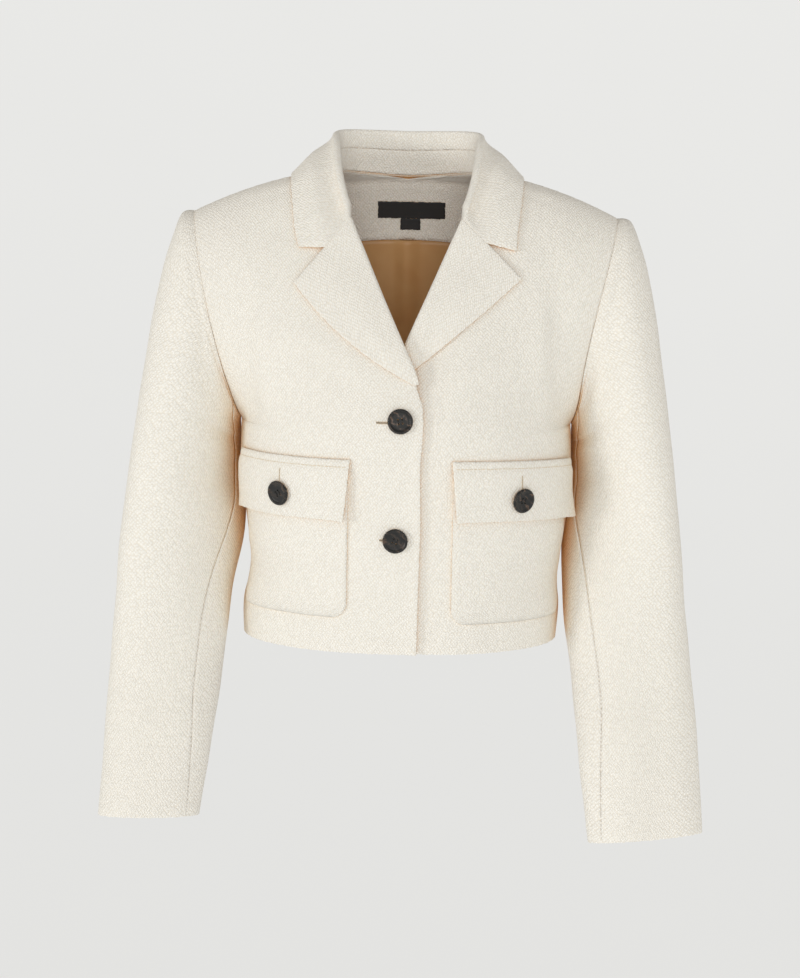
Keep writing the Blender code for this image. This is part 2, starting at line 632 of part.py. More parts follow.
# ================================================================ sleeves
def sleeve_point(k, angle, hand):
    """Point of the sleeve: k runs from 0 at the armhole to 1 at the cuff, angle 0 is the outer
    side, 90 the front, 180 the side next to the body."""
    k, angle = np.broadcast_arrays(k, angle)
    shares = np.linspace(0, 1, len(SLEEVE))
    pose = smooth((k - CUFF_POSE_START) / (1 - CUFF_POSE_START))
    ring = curve(list(zip(shares, SLEEVE)), k) + pose[..., None] * np.array(CUFF_POSE[hand])
    outer_x, outer_z, inner_x, inner_z, middle_y, depth, behind = np.moveaxis(ring, -1, 0)
    across, along = np.sin(np.radians(angle)), np.cos(np.radians(angle))
    scoop = np.where(across > 0, ARMHOLE_SCOOP["front"], ARMHOLE_SCOOP["back"])
    scoop = scoop * np.clip(1 - k / SCOOP_FADE, 0, 1)
    x = (outer_x + inner_x) / 2 + (outer_x - inner_x) / 2 * along + scoop * across ** 2
    y = middle_y - depth * across - behind * along
    tilt = math.radians(SLEEVE_TILT) * smooth((k - TILT_START) / (1 - TILT_START))
    z = (outer_z + inner_z) / 2 + (outer_z - inner_z) / 2 * along + depth * across * np.sin(tilt)
    if hand == "left":
        apart = smooth(k / SIDE_START)
        x = x + (1 - apart) * fullness(x, z) + apart * curve(LEFT_SIDE, k) * (1 - along) / 2
    return np.stack([x, y, z], -1)


def make_sleeve(hand):
    """Top and under sleeve, parted at the front and the back seam."""
    last = len(SLEEVE) - 1
    rows = np.concatenate([np.arange(CAP_ROWS), np.linspace(CAP_ROWS, last, ARM_LENGTH_ROWS)])
    k = rows[:, None] / last
    front_seam = curve(FRONT_SEAM, k)
    ends = {
        "top": (BACK_SEAM + SEAM_ANGLE, front_seam - SEAM_ANGLE),
        "under": (front_seam + SEAM_ANGLE, 360 + BACK_SEAM - SEAM_ANGLE),
    }
    for piece, (start, end) in ends.items():
        share = np.linspace(0, 1, SLEEVE_COLUMNS[piece] + 1)
        grid = sleeve_point(k, start + (end - start) * share, hand)
        grid[0] += ARMHOLE_AXIS * SEAM_GAP
        sheet = thick(grid)
        stay_beside(sheet[0], -ARMHOLE_AXIS)
        sew(f"{piece}_sleeve_{hand}", [sheet], "tweed", hand)


# ================================================================ lapels and collar
def gorge_point(hand):
    """The roll where the gorge seam meets it, and the direction of the seam to the tip."""
    start = np.array([float(roll_x(GORGE_Z)), GORGE_Z])
    return start, unit(np.array(LAPEL_TIP[hand]) - start)


def gorge_axis(hand):
    """Direction square to the gorge seam, along the cloth."""
    gorge, along = gorge_point(hand)
    ends = gorge + np.outer([0.0, NOTCH_X - gorge[0]], along)
    low, high = over_front(ends[:, 0], ends[:, 1], 0.0, hand)
    raised = over_front(ends[:, 0], ends[:, 1], 1.0, hand)
    return unit(np.cross(np.mean(raised, axis=0) - (low + high) / 2, high - low))


def make_lapel(hand):
    start = np.array([float(roll_x(BREAK_Z)) + LAPEL_START, BREAK_Z - 1.0])
    tip, belly = np.array(LAPEL_TIP[hand]), np.array(LAPEL_BELLY[hand])
    along = gorge_point(hand)[1]
    seam_side = np.array([along[1], -along[0]]) * SEAM_GAP / 2
    u = np.linspace(0, 1, LAPEL_ROWS + 1)[:, None]
    z = BREAK_Z + (GORGE_Z - BREAK_Z) * u[:, 0]
    roll = np.stack([roll_x(z), z], -1)
    edge = (1 - u) ** 2 * start + 2 * (1 - u) * u * belly + u ** 2 * tip
    roll[-1] += seam_side
    edge[-1] += seam_side
    width = np.linalg.norm(edge - roll, axis=1, keepdims=True)
    wrap = np.array(LAPEL_WRAP)
    share = np.linspace(0, 1, LAPEL_COLUMNS + 1)[1:]
    reach = np.concatenate([np.tile(wrap[:, 0], (len(u), 1)),
                            wrap[-1, 0] + (width - wrap[-1, 0]) * share], axis=1)
    flat = LAPEL_LIFT["roll"] + (LAPEL_LIFT["edge"] - LAPEL_LIFT["roll"]) * share
    lift = np.tile(np.concatenate([wrap[:, 1], flat]), (len(u), 1))
    low = np.minimum(lift, LAPEL_LIFT["break"])
    lift = low + (lift - low) * smooth(u / LAPEL_RISE)
    at = roll[:, None] + unit(edge - roll)[:, None] * reach[..., None]
    sheet = thick(over_front(at[..., 0], at[..., 1], lift, hand))
    stand_square(sheet[-1], gorge_axis(hand))
    return sew(f"lapel_{hand}", [sheet], "tweed", hand)


def neck_seam(angle):
    """Point of the neck seam, the panel's outward direction there and the direction out of the
    panel into the neck."""
    def at(a):
        level = level_of_angle(np.abs(a))
        front, back = front_edge_t(level), back_neck_t(level)
        in_front = (a > 0)[:, None]
        point = np.where(in_front, body(level, front, "front"), body(level, back, "back"))
        out = np.where(in_front, body_normal(level, front, "front"),
                       body_normal(level, back, "back"))
        return point, out
    point, out = at(angle)
    nearer = np.maximum(angle - NECK_STEP, NECK_END - BACK_NECK_ANGLE)
    along = unit(at(angle + NECK_STEP)[0] - at(nearer)[0])
    return point, out, unit(np.cross(along, out))


def collar_profiles():
    """Key points of the collar's visible face at every station, from the leaf's edge over the
    crest of the roll to the neck seam."""
    last = COLLAR[-1][0]
    station = np.linspace(0, last, 2 * last + 1)
    values = curve(COLLAR, station)
    crest, neck, leaf, leaf_x = values[:, :3], values[:, 3], values[:, 4], values[:, 5]
    seam, out, into = neck_seam(neck)
    edges = []
    for angle, x in zip(leaf, leaf_x):
        level, side = level_of_angle(abs(angle)), "back" if angle < 0 else "front"
        edges.append(on_body(level, t_at_x(level, np.array(x), side), side, LEAF_LIFT))
    edge = np.array(edges)
    upright, lying = UPRIGHT_STATIONS
    weight = smooth((station - upright) / (lying - upright))[:, None]
    up = unit(np.array([0, 0, 1]) * (1 - weight) + out * weight)
    away = edge - seam
    away = unit(away - np.sum(away * up, axis=1, keepdims=True) * up)
    beside = np.abs(np.sum(away * into, axis=1, keepdims=True))
    foot = seam - out * TWEED / 2 + into * (SEAM_GAP + TWEED / 2 * beside) - away * TWEED / 2
    diagonal = math.sqrt(0.5)
    radius = ROLL_RADIUS
    shoulder_out = crest + away * radius - up * radius
    shoulder_in = crest - away * radius - up * radius
    turn_out = crest + away * radius * diagonal - up * radius * (1 - diagonal)
    turn_in = crest - away * radius * diagonal - up * radius * (1 - diagonal)
    chord = shoulder_out - edge
    bulge = unit(away * np.sum(chord * up, axis=1, keepdims=True)
                 - up * np.sum(chord * away, axis=1, keepdims=True))
    middle = (shoulder_out + edge) / 2 + bulge * LEAF_FULLNESS
    points = np.stack([edge, middle, shoulder_out, turn_out, crest, turn_in, shoulder_in, foot], 1)
    points[0, :, 0] = 0
    return points, values[:, 6]


def along_profile(points, keys):
    """Smooth line through a profile's key points, read at fractional keys."""
    steps = np.linalg.norm(np.diff(points, axis=0), axis=1)
    lengths = np.concatenate([[0], np.cumsum(steps)])
    at = np.interp(keys, np.arange(len(points)), lengths)
    return curve(list(zip(lengths, points)), at)


def gorge_end(hand, columns):
    """The collar's front end: along the lapel to the notch, then across to the corner."""
    gorge, along = gorge_point(hand)
    shift = np.array([-along[1], along[0]]) * SEAM_GAP / 2
    notch = (NOTCH_X - gorge[0]) / along[0]
    full = np.linalg.norm(np.array(LAPEL_TIP[hand]) - gorge)
    slope = (LAPEL_LIFT["edge"] - LAPEL_LIFT["roll"]) / full
    places = [(*COLLAR_CORNER[hand], LEAF_LIFT)]
    for reach in (notch, GORGE_RUN):
        places.append((*(gorge + along * reach), LAPEL_LIFT["roll"] + slope * reach))
    for reach, lift in LAPEL_WRAP[::-1]:
        places.append((*(gorge + along * reach), lift))
    places = np.array(places)
    places[1:, :2] += shift
    keys = np.arange(len(places))
    x, z, lift = (np.interp(columns, keys, places[:, i]) for i in range(3))
    return over_front(x, z, lift, hand)


def make_collar():
    """Collar fall from one lapel to the other, and the stand under it."""
    points, share = collar_profiles()
    last = points.shape[1] - 1
    halves = {}
    for hand in ("right", "left"):
        fall, stand = [], []
        for profile, s in zip(points, share):
            leg = np.linalg.norm(profile[last] - profile[last - 1])
            gap = SEAM_GAP / 2 / leg
            top = last - s
            keys = np.concatenate([FALL_COLUMNS, [5, 6], [(6 + top - gap) / 2, top - gap]])
            fall.append(along_profile(profile, keys))
            stand.append(along_profile(profile, np.linspace(top + gap, last, STAND_ROWS)))
        end = gorge_end(hand, np.concatenate([FALL_COLUMNS, [5, 6, 6.5, 7]]))
        fall = thick(np.array(fall + [end]))
        stand_square(fall[-1, FALL_COLUMNS.index(1):], gorge_axis(hand))
        halves[hand] = fall, thick(np.array(stand))
    for name, piece in (("collar_fall", 0), ("collar_stand", 1)):
        left = halves["left"][piece]
        right = halves["right"][piece][::-1] * np.array([-1, 1, 1])
        sew(name, [left, right], "tweed")


# ================================================================ pockets
def make_pocket(hand):
    """A patch on the front's own rows and columns, with its two lower corners rounded."""
    low = POCKET_BOTTOM[hand]
    rows = [low + rise for rise in CORNER_ROWS]
    rows += [z for z in LOW_ROWS if low + POCKET_CORNER <= z <= POCKET_TOP]
    first = FRONT_COLUMNS[0]
    grid = []
    for z in rows:
        level = float(level_of_height(z))
        t = pocket_row(level)[first:first + FRONT_COLUMNS[1] + 1]
        arcs = arc_length(level, t)
        climb = max(POCKET_CORNER - (z - low), 0.0)
        inset = POCKET_CORNER - math.sqrt(POCKET_CORNER ** 2 - climb ** 2)
        arcs[0] += inset
        arcs[-1] -= inset
        grid.append(on_body(level, arc_to_t(level, arcs), "front", SEAM_GAP + TWEED, hand))
    return sew(f"pocket_{hand}", [thick(np.array(grid))], "tweed", hand)


def flap_point(down, across, hand):
    """Point of a flap's visible face: shares of the way down and from inner to outer end."""
    droop = FLAP_DROOP[hand] * across ** 2
    level = level_of_height(FLAP_Z[0] + (FLAP_Z[1] - FLAP_Z[0]) * down - droop)
    inner = FLAP_INNER + FLAP_SLANT * down
    t = np.array([arc_to_t(row, start + (FLAP_END - start) * share)
                  for row, start, share in zip(level.flat, inner.flat, across.flat)])
    inner_lift, outer_lift = FLAP_CORNER_LIFT[hand]
    ends = np.where(across < 0.5, inner_lift, outer_lift)
    corner = ends * down ** 2 * np.abs(2 * across - 1) ** FLAP_CORNER_POWER
    lift = curve(FLAP_LIFT, down + droop / (FLAP_Z[0] - FLAP_Z[1])) + corner
    return on_body(level, t.reshape(level.shape), "front", lift, hand)


def make_flap(hand):
    across = np.linspace(0, 1, FRONT_COLUMNS[1] + 1)
    sheet = thick(flap_point(*np.meshgrid(FLAP_ROWS, across, indexing="ij"), hand))
    return sew(f"flap_{hand}", [sheet], "tweed", hand)


# ================================================================ buttons
def make_button(name, point, out):
    """A sewn-on button with a raised rim and four holes, its back at the point given."""
    work = bmesh.new()
    rings = []
    for radius, height in BUTTON_PROFILE:
        if radius == 0:
            rings.append([work.verts.new((0, 0, height))])
            continue
        turns = [math.tau * i / BUTTON_SIDES for i in range(BUTTON_SIDES)]
        rings.append([work.verts.new((radius * math.cos(a), radius * math.sin(a), height))
                      for a in turns])
    for low, high in zip(rings, rings[1:]):
        for i in range(BUTTON_SIDES):
            j = (i + 1) % BUTTON_SIDES
            corners = [low[i % len(low)], low[j % len(low)], high[j % len(high)], high[i % len(high)]]
            work.faces.new(list(dict.fromkeys(corners)))
    bmesh.ops.recalc_face_normals(work, faces=work.faces)
    body_mesh = bpy.data.meshes.new(name)
    work.to_mesh(body_mesh)
    work.free()
    button = add_object(name, body_mesh, "horn")

    drill = bmesh.new()
    for sx in (-1, 1):
        for sy in (-1, 1):
            place = Matrix.Translation((sx * HOLE_OFFSET, sy * HOLE_OFFSET, 0))
            bmesh.ops.create_cone(drill, cap_ends=True, segments=HOLE_SIDES, radius1=HOLE_RADIUS,
                                  radius2=HOLE_RADIUS, depth=DRILL_LENGTH, matrix=place)
    drill_mesh = bpy.data.meshes.new("holes")
    drill.to_mesh(drill_mesh)
    drill.free()
    holes = bpy.data.objects.new("holes", drill_mesh)
    bpy.context.scene.collection.objects.link(holes)
    cut = button.modifiers.new("holes", "BOOLEAN")
    cut.operation, cut.solver, cut.object = "DIFFERENCE", "EXACT", holes
    bpy.context.view_layer.update()
    shaped = bpy.data.meshes.new_from_object(
        button.evaluated_get(bpy.context.evaluated_depsgraph_get()))
    button.modifiers.clear()
    button.data = shaped
    bpy.data.objects.remove(holes)

    axis = Vector(out)
    across = Vector((0, 0, 1)).cross(axis).normalized()
    up = axis.cross(across)
    turn = Matrix((across, up, axis)).transposed().to_4x4()
    shaped.transform(Matrix.Translation(Vector(point) * MM) @ turn @ Matrix.Scale(MM, 4))
    shaped.shade_smooth()
    return button


def make_buttons():
    for name, (x, z) in FRONT_BUTTONS.items():
        level = level_of_height(z)
        t = t_at_x(level, np.array(x), "front")
        point = on_body(level, t, "front", BUTTON_LIFT) * np.array([-1, 1, 1])
        out = body_normal(level, t, "front") * np.array([-1, 1, 1])
        make_button(f"button_front_{name}", point, out)
    for hand, sign in (("right", -1), ("left", 1)):
        arc, z = POCKET_BUTTONS[hand]
        down = (z - FLAP_Z[0]) / (FLAP_Z[1] - FLAP_Z[0])
        level = level_of_height(z)
        t = arc_to_t(float(level), arc)
        lift = float(curve(FLAP_LIFT, down)) + BUTTON_LIFT
        point = on_body(level, t, "front", lift, hand) * np.array([sign, 1, 1])
        out = body_normal(level, t, "front") * np.array([sign, 1, 1])
        make_button(f"button_pocket_{hand}", point, out)


def main():
    for thing in list(bpy.data.objects):
        bpy.data.objects.remove(thing)
    make_back()
    make_facing_and_labels()
    make_lining()
    for hand in ("right", "left"):
        make_front(hand)
        make_sleeve(hand)
        make_lapel(hand)
        make_pocket(hand)
        make_flap(hand)
    make_collar()
    make_buttons()


main()
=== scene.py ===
"""Looks of a cropped tweed jacket: cloth lofted finely on the fixed frame's form, its sewing,
buttons, lining and labels, and a plain studio.

Lengths are in millimetres and become metres where a mesh is made. +X is the wearer's left, -Y the
front, +Z up. "Own x" is the distance from the centre line towards a piece's own side. Rows of the
body run from the middle to the side seam or the armhole, as they do in the part's source.
"""
import math

import bmesh
import bpy
import numpy as np
from mathutils import Matrix, Vector


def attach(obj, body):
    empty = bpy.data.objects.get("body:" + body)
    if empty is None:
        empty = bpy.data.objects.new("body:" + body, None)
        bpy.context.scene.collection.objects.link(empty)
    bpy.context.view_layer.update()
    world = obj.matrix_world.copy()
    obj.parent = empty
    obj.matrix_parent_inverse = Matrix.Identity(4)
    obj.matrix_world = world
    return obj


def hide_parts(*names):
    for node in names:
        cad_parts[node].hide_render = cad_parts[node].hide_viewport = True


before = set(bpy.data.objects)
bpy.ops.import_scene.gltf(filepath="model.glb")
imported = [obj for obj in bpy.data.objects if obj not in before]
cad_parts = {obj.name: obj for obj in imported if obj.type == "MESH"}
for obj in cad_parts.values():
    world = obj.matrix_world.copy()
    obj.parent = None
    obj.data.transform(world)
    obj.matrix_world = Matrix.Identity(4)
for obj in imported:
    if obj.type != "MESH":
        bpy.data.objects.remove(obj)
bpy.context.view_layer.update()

MM = 0.001

# ---------------------------------------------------------------- cloth
TWEED, SATIN, TAPE, SEAM_GAP = 2.2, 1.0, 0.8, 0.08
SEAM_DIP, SEAM_DIP_REACH = 0.4, 2.4         # cloth rolls down into a seam
FLUSH = 0.25                                # share of that dip where it is pressed flush
PUCKER, PUCKER_REACH, PUCKER_START = 0.28, 9.0, 3.0          # it ripples beside its stitches
LEAST_WALL = 0.6                            # share of the wall that is left under a dip
MEETING = (0.2, 0.5)                        # likeness of two sewn cloths' directions: least, run
SEAM_BULGE, FOLD_BULGE = 0.03, 0.75         # how far an edge rounds out past its two faces
LINING_BULGE, TAPE_BULGE = 0.3, 0.25        # the same for the folds of thinner cloth
RIM_TURNS = (45, 90, 135)                   # rows round an edge, as turns from the visible face
EDGE_WAVER, WAVER_REACH = 0.35, 4.0         # a folded edge wavers over the slubs
EDGE_CURL, CURL_REACH, CURL_Z = 2.0, 5.5, (-205.0, 30.0)     # the front edge turns up a little
TURN_UP = 34.0                              # tweed turned in at a hem or cuff
FACING_WIDTH = 78.0                         # tweed facing inside the front edge
MIRROR = np.array([-1, 1, 1])

# ---------------------------------------------------------------- body
HEM_Z = -452.0
UNDERARM_X, UNDERARM_Z = 160.0, -238.0
SHOULDER_X, SHOULDER_Z = 208.0, -36.0
ARMHOLE_DEPTH = 56.5
ARMHOLE_SCOOP = {"front": 4.5, "back": 9.0}
SECTION_FULLNESS, SECTION_REACH = 0.6, 0.55
ROW_DROP_POWER, LEAN_POWER = 2.2, 1.6
BODY_WIDTHS = (
    # height, half width
    (-452, 155.5), (-420, 156.0), (-385, 148.5), (-352, 152.0), (-330, 155.0), (-285, 160.0),
    (-238, 160.0),
)
LEFT_FULLNESS = (
    # height, how much further out the left side stands than the right
    (-452, 1.5), (-438, 2.0), (-408, 4.5), (-385, 8.0), (-359, 9.5), (-341, 10.0), (-319, 9.0),
    (-289, 7.6), (-250, 6.5), (-238, 6.0), (-224, 5.0), (-210, 3.0), (-195, 0.0), (12, 0.0),
)
FULLNESS_START, FULLNESS_RUN = 60.0, 95.0
BODY_DEPTHS = {
    # height, depth at the middle
    "front": ((-452, 112), (-378, 115), (-330, 120), (-270, 127), (-224, 126), (-185, 118),
              (-150, 106), (-110, 88), (-75, 71), (-44, 57), (-20, 43), (-3, 30), (8.5, 15),
              (12, 0)),
    "back": ((-452, 94), (-378, 90), (-330, 93), (-270, 99), (-224, 104), (-190, 105), (-150, 103),
             (-110, 99), (-68, 92), (-35, 83), (-12, 71), (1, 59), (9, 35), (12, 0)),
}
ROW_HEIGHTS = {
    # angle round the armhole at the row's outer end, the row's height at the middle
    "front": ((0, 12), (15, 8.5), (30, -3), (60, -44), (90, -98), (120, -152), (150, -197),
              (180, -238)),
    "back": ((0, 12), (15, 9), (28, 1), (60, -38), (90, -94), (120, -149), (150, -195),
             (180, -238)),
}
BODY_ROWS = {"low": 78, "arm": 84}          # below and above the underarm
FRONT_COLUMNS, BACK_COLUMNS = 70, 62

# ---------------------------------------------------------------- front edge, lapel and neck
ROLL_LINE = (
    # height, own x of the front edge below the break and of the roll above it
    (-452, -16.8), (-380, -17.6), (-325, -18.4), (-275, -17.2), (-206, -18.0), (-180, -12.5),
    (-155, -1.0), (-110, 20.0), (-72, 37.0), (-35, 53.5), (-14, 61.5), (8, 69.0),
)
ROLL_ALLOWANCE, ALLOWANCE_Z = 3.2, (-212.0, -194.0)
NECK_HALF_WIDTH, BACK_NECK_ANGLE = 72.2, 28.0
BREAK_Z, GORGE_Z, NOTCH_X = -190.0, -37.4, 77.5
LAPEL_TIP = {"right": (105.5, -99.0), "left": (113.5, -92.0)}
LAPEL_BELLY = {"right": (60.0, -157.0), "left": (46.0, -149.0)}
LAPEL_START, LAPEL_DROP, LAPEL_BREAK_SHARE = 3.0, 1.0, 0.2
LAPEL_THIN = {"share": 0.12, "lift": 0.9, "thickness": 0.6}   # where it melts into the edge
LAPEL_WRAP = (
    # distance from the roll, height of the visible face over the front
    (1.0, -2.0), (0.1, -0.6), (0.0, 1.0), (0.6, 3.1), (2.4, 4.7),
)
LAPEL_SETTLE = 0.12                         # share of the width from the wrap to the flat of it
LAPEL_FINENESS = {"rows": 86, "columns": 34, "wrap": 3}
LAPEL_LIFT = {"roll": 5.2, "edge": 3.2, "break": 3.0}
LAPEL_BELLY_LIFT = 1.3                      # the lapel's soft roundness between roll and edge
TUCK = {"overlap": 2.7, "break": 8.0}
TUCK_FADE = {"overlap": (22.0, 32.0), "break": (8.0, 64.0)}
TUCK_BREAK_Z, TUCK_BREAK_REACH = -168.0, 38.0

# ---------------------------------------------------------------- collar
ROLL_RADIUS, LEAF_LIFT, LEAF_FULLNESS = 4.0, 3.4, 3.0
COLLAR_CORNER = {"right": (102.0, -66.0), "left": (107.0, -66.0)}
COLLAR = (
    # station, crest of the roll (own x, y, z), armhole angle of the row at the neck seam
    # (negative is the back), angle and own x at the leaf's edge, share of the inner leg that
    # is stand
    (0, (0.0, 52.0, 44.0, -28.0, -35.0, 0.0, 0.60)),
    (1, (30.0, 50.5, 44.6, -25.5, -33.5, 34.0, 0.60)),
    (2, (54.0, 43.0, 45.0, -19.0, -29.0, 66.0, 0.60)),
    (3, (66.5, 31.0, 44.4, -11.0, -21.0, 92.0, 0.60)),
    (4, (71.2, 17.0, 42.2, -5.0, -11.0, 107.0, 0.58)),
    (5, (70.5, -1.0, 35.5, 3.0, 1.0, 112.0, 0.54)),
    (6, (69.0, -17.0, 24.5, 12.0, 15.0, 112.0, 0.46)),
    (7, (66.5, -34.0, 8.0, 25.0, 32.0, 110.5, 0.34)),
    (8, (61.3, -47.5, -12.5, 38.0, 48.0, 108.0, 0.20)),
    (9, (57.2, -54.0, -24.5, 47.0, 57.0, 106.0, 0.10)),
)
FALL_KEYS = (0, 0.35, 0.7, 1, 1.5, 2, 2.5, 3, 3.5, 4, 5, 6)
LEG_KEYS = (6, 6.5, 7)                      # down the inner leg, which the stand takes over
UPRIGHT_STATIONS = (3, 6)                   # upright up to this one, flat on the front so many on
GORGE_RUN = 9.0                             # along the gorge to the collar's second column
COLLAR_FINENESS = {"along": 5, "across": 4, "stand": 12}
NECK_STEP, NECK_END = 0.4, 0.01             # degrees: to find the neck seam's direction

# ---------------------------------------------------------------- pockets and buttons
POCKET_X, POCKET_END, POCKET_TOP, POCKET_CORNER = 50.0, 187.0, -276.0, 15.0
POCKET_BOTTOM = {"right": -418.0, "left": -423.0}
FLAP_INNER, FLAP_SLANT, FLAP_END, FLAP_Z = 49.0, 4.5, 190.0, (-262.0, -319.5)
FLAP_LIFT = (
    # share of the way down, height of the visible face over the front
    (0.0, 2.6), (0.12, 4.4), (0.24, 5.5), (0.6, 6.0), (1.0, 6.8),
)
FLAP_CORNER_LIFT = {
    # how far the lower corners stand off: inner, outer
    "right": (4.0, 3.0), "left": (2.0, 6.0),
}
FLAP_CORNER_POWER = 4                       # how close to the ends the corners stand off
FLAP_DROOP = {"right": 1.5, "left": 5.5}    # how much lower the outer end hangs
FLAP_STITCH = {"down": 0.125, "groove": 0.7, "width": 0.03, "ends": (0.012, 0.988), "lift": 0.25}
POCKET_FINENESS = {"corner": 12, "rows": 50, "columns": 52}
FLAP_FINENESS = {"rows": 34, "columns": 62, "stitched": 240}
FRONT_BUTTONS = {
    # own x and height on the right front
    "top": (1.5, -226.2), "low": (4.3, -339.7),
}
POCKET_BUTTONS = {
    # distance along the cloth from the middle, height
    "right": (119.3, -298.4), "left": (113.8, -300.6),
}
BUTTON_LIFT = 0.5
BUTTON_PROFILE = (
    # radius, height: flat back, rounded rim, raised ring, dished middle
    (0.0, 0.0), (9.6, 0.0), (10.6, 0.25), (11.5, 0.9), (12.0, 1.8), (12.05, 2.4), (11.8, 3.0),
    (11.3, 3.45), (10.7, 3.65), (10.1, 3.6), (9.5, 3.25), (9.0, 2.85), (8.4, 2.6), (7.4, 2.5),
    (5.0, 2.4), (0.0, 2.3),
)
BUTTON_SIDES, BUTTON_CREST = 72, 40.0       # ridges sharper than this many degrees stay crisp
HOLE_RADIUS, HOLE_OFFSET, HOLE_SIDES, DRILL_LENGTH = 1.0, 1.9, 24, 12.0
BUTTON_SPIN = {"top": 12, "low": -20, "right": 35, "left": -8}
BUTTON_THREAD = {"apart": 0.35, "past": 0.15, "top": 2.65, "dive": 1.9, "bend": 8, "points": 12}
SHANK = {"z": (-2.2, 1.2), "points": 5}
BUTTONHOLES = {
    # where each starts and ends, from the middle of its button
    "top": (1.0, 22.6), "low": (-6.0, 15.0), "pocket": (0.0, 23.5),
}
BUTTONHOLE_WIDTH = {"front": 1.2, "pocket": 0.7}
BUTTONHOLE_LIP = (
    # share of the width from the slit, height: one stitch of the lip, arching over its edge
    (0.2, 0.1), (0.5, 0.3), (0.8, 0.25), (1.0, -0.1),
)
BUTTONHOLE_LIFT, BUTTONHOLE_STITCHES, SLIT_SHARE = 0.1, 30, 0.3
THREAD_RADIUS = {"topstitch": 0.28, "button": 0.3, "buttonhole": 0.22}
THREAD_SIDES, THREAD_GUIDE = 6, np.array([0.3, 0.2, 0.93])   # no thread runs along the guide
TOPSTITCH = {"length": 3.2, "gap": 1.0, "points": 6}

# ---------------------------------------------------------------- inside
FACING_ANGLE, FACING_SHARE, LINING_SHARE, LINING_HEM_Z = 75.0, 4 / 9, 8 / 9, -435.0
PLEAT_DEPTH, PLEAT_WIDTH, PLEAT_ANGLES = 5.0, 0.045, (150.0, 90.0)
FACING_ROLL = {"depth": 1.9, "reach": 3.5}  # the facing thins into the neck seam
FACING_FINENESS = {"rows": 40, "columns": 30}
LINING_FINENESS = {"low": 60, "arm": 46, "pleat": 8, "columns": 44}
LINING_TRIM = 0.2                           # degrees by which it stops short of the facing
TAPES = {
    # own x and height it covers, and how finely
    "label": {"x": (-30.0, 38.0), "z": (-42.0, -25.0), "rows": 14, "columns": 40},
    "size_tab": {"x": (-7.0, 13.0), "z": (-54.0, -42.6), "rows": 10, "columns": 16},
}
TAPE_BOW = 0.5                              # each stands off a little between its sewn ends

# ---------------------------------------------------------------- sleeves
SLEEVE = (
    # outer x, z, inner x, z, middle y, half depth, how far the inner side lies behind the middle
    (208.0, -36.0, 160.0, -238.0, 0.0, 56.5, 0.0),
    (214.5, -35.8, 160.5, -239.0, 0.0, 57.0, 0.5),
    (220.0, -38.5, 160.9, -240.0, 0.0, 57.7, 1.5),
    (224.0, -46.0, 161.2, -241.4, 0.0, 58.6, 3.0),
    (228.6, -60.0, 161.5, -243.5, 0.0, 60.0, 5.0),
    (236.2, -86.0, 161.7, -246.0, 0.0, 62.8, 8.0),
    (244.2, -123.0, 161.8, -249.5, 0.0, 65.2, 12.0),
    (251.5, -169.0, 161.8, -254.5, -1.0, 66.5, 17.0),
    (258.8, -219.0, 161.5, -263.0, -2.0, 66.0, 22.0),
    (265.5, -268.0, 160.6, -285.0, -4.0, 62.5, 26.0),
    (271.0, -313.0, 156.5, -315.0, -8.0, 56.5, 28.0),
    (276.3, -357.0, 157.0, -355.0, -15.0, 50.5, 25.0),
    (281.4, -419.0, 167.0, -414.0, -27.0, 43.5, 14.0),
    (287.7, -486.0, 173.0, -483.0, -42.0, 37.5, 5.0),
    (292.8, -547.0, 179.8, -547.0, -59.0, 33.5, 0.0),
    (297.5, -629.0, 192.0, -633.0, -80.0, 29.5, 0.0),
)
CUFF_POSE = {
    # how the cuff ends off that table: outer x, z, inner x, z, middle y, half depth, how far
    # the inner side lies behind
    "right": (-5.0, 3.0, 0.8, 9.0, 0.0, 3.0, 0.0), "left": (5.5, -2.0, -1.2, -11.0, 0.0, -2.0, 0.0),
}
CUFF_POSE_START, SLEEVE_TILT, TILT_START, SCOOP_FADE = 0.72, 10.0, 0.6, 0.25
LEFT_SIDE = (
    # share of the way down, how much further out the left sleeve's inner side hangs
    (0.0, 6.5), (0.5, 6.5), (0.6, 7.5), (0.667, 8.0), (0.733, 4.5), (0.8, -4.0), (0.867, 0.0),
    (1.0, 0.0),
)
SIDE_START = 0.3
FRONT_SEAM = (
    # share of the way down the sleeve, angle from the outer side towards the front
    (0.0, 146.0), (0.35, 150.0), (0.52, 155.0), (0.66, 150.0), (0.8, 127.0), (0.9, 126.0),
    (1.0, 142.0),
)
BACK_SEAM, SEAM_ANGLE = -116.0, 0.06
SLEEVE_ROWS, SLEEVE_COLUMNS = 190, {"top": 84, "under": 36}
ROW_CROWDING = 1.06                         # rows lie a little closer by the armhole
SLEEVE_LENGTH, SLEEVE_GIRTH_RADIUS = 590.0, 48.0
SLEEVE_FADE = {"armhole": 0.05, "cuff": 0.03}     # shares of its length without creases
GRAIN_ROW = 4                               # from this row down its cloth turns round its middle
HEAD_Z, HEAD_RUN, HEAD_SHARE = -110.0, 60.0, 0.7  # how the grain runs on over the sleeve's head

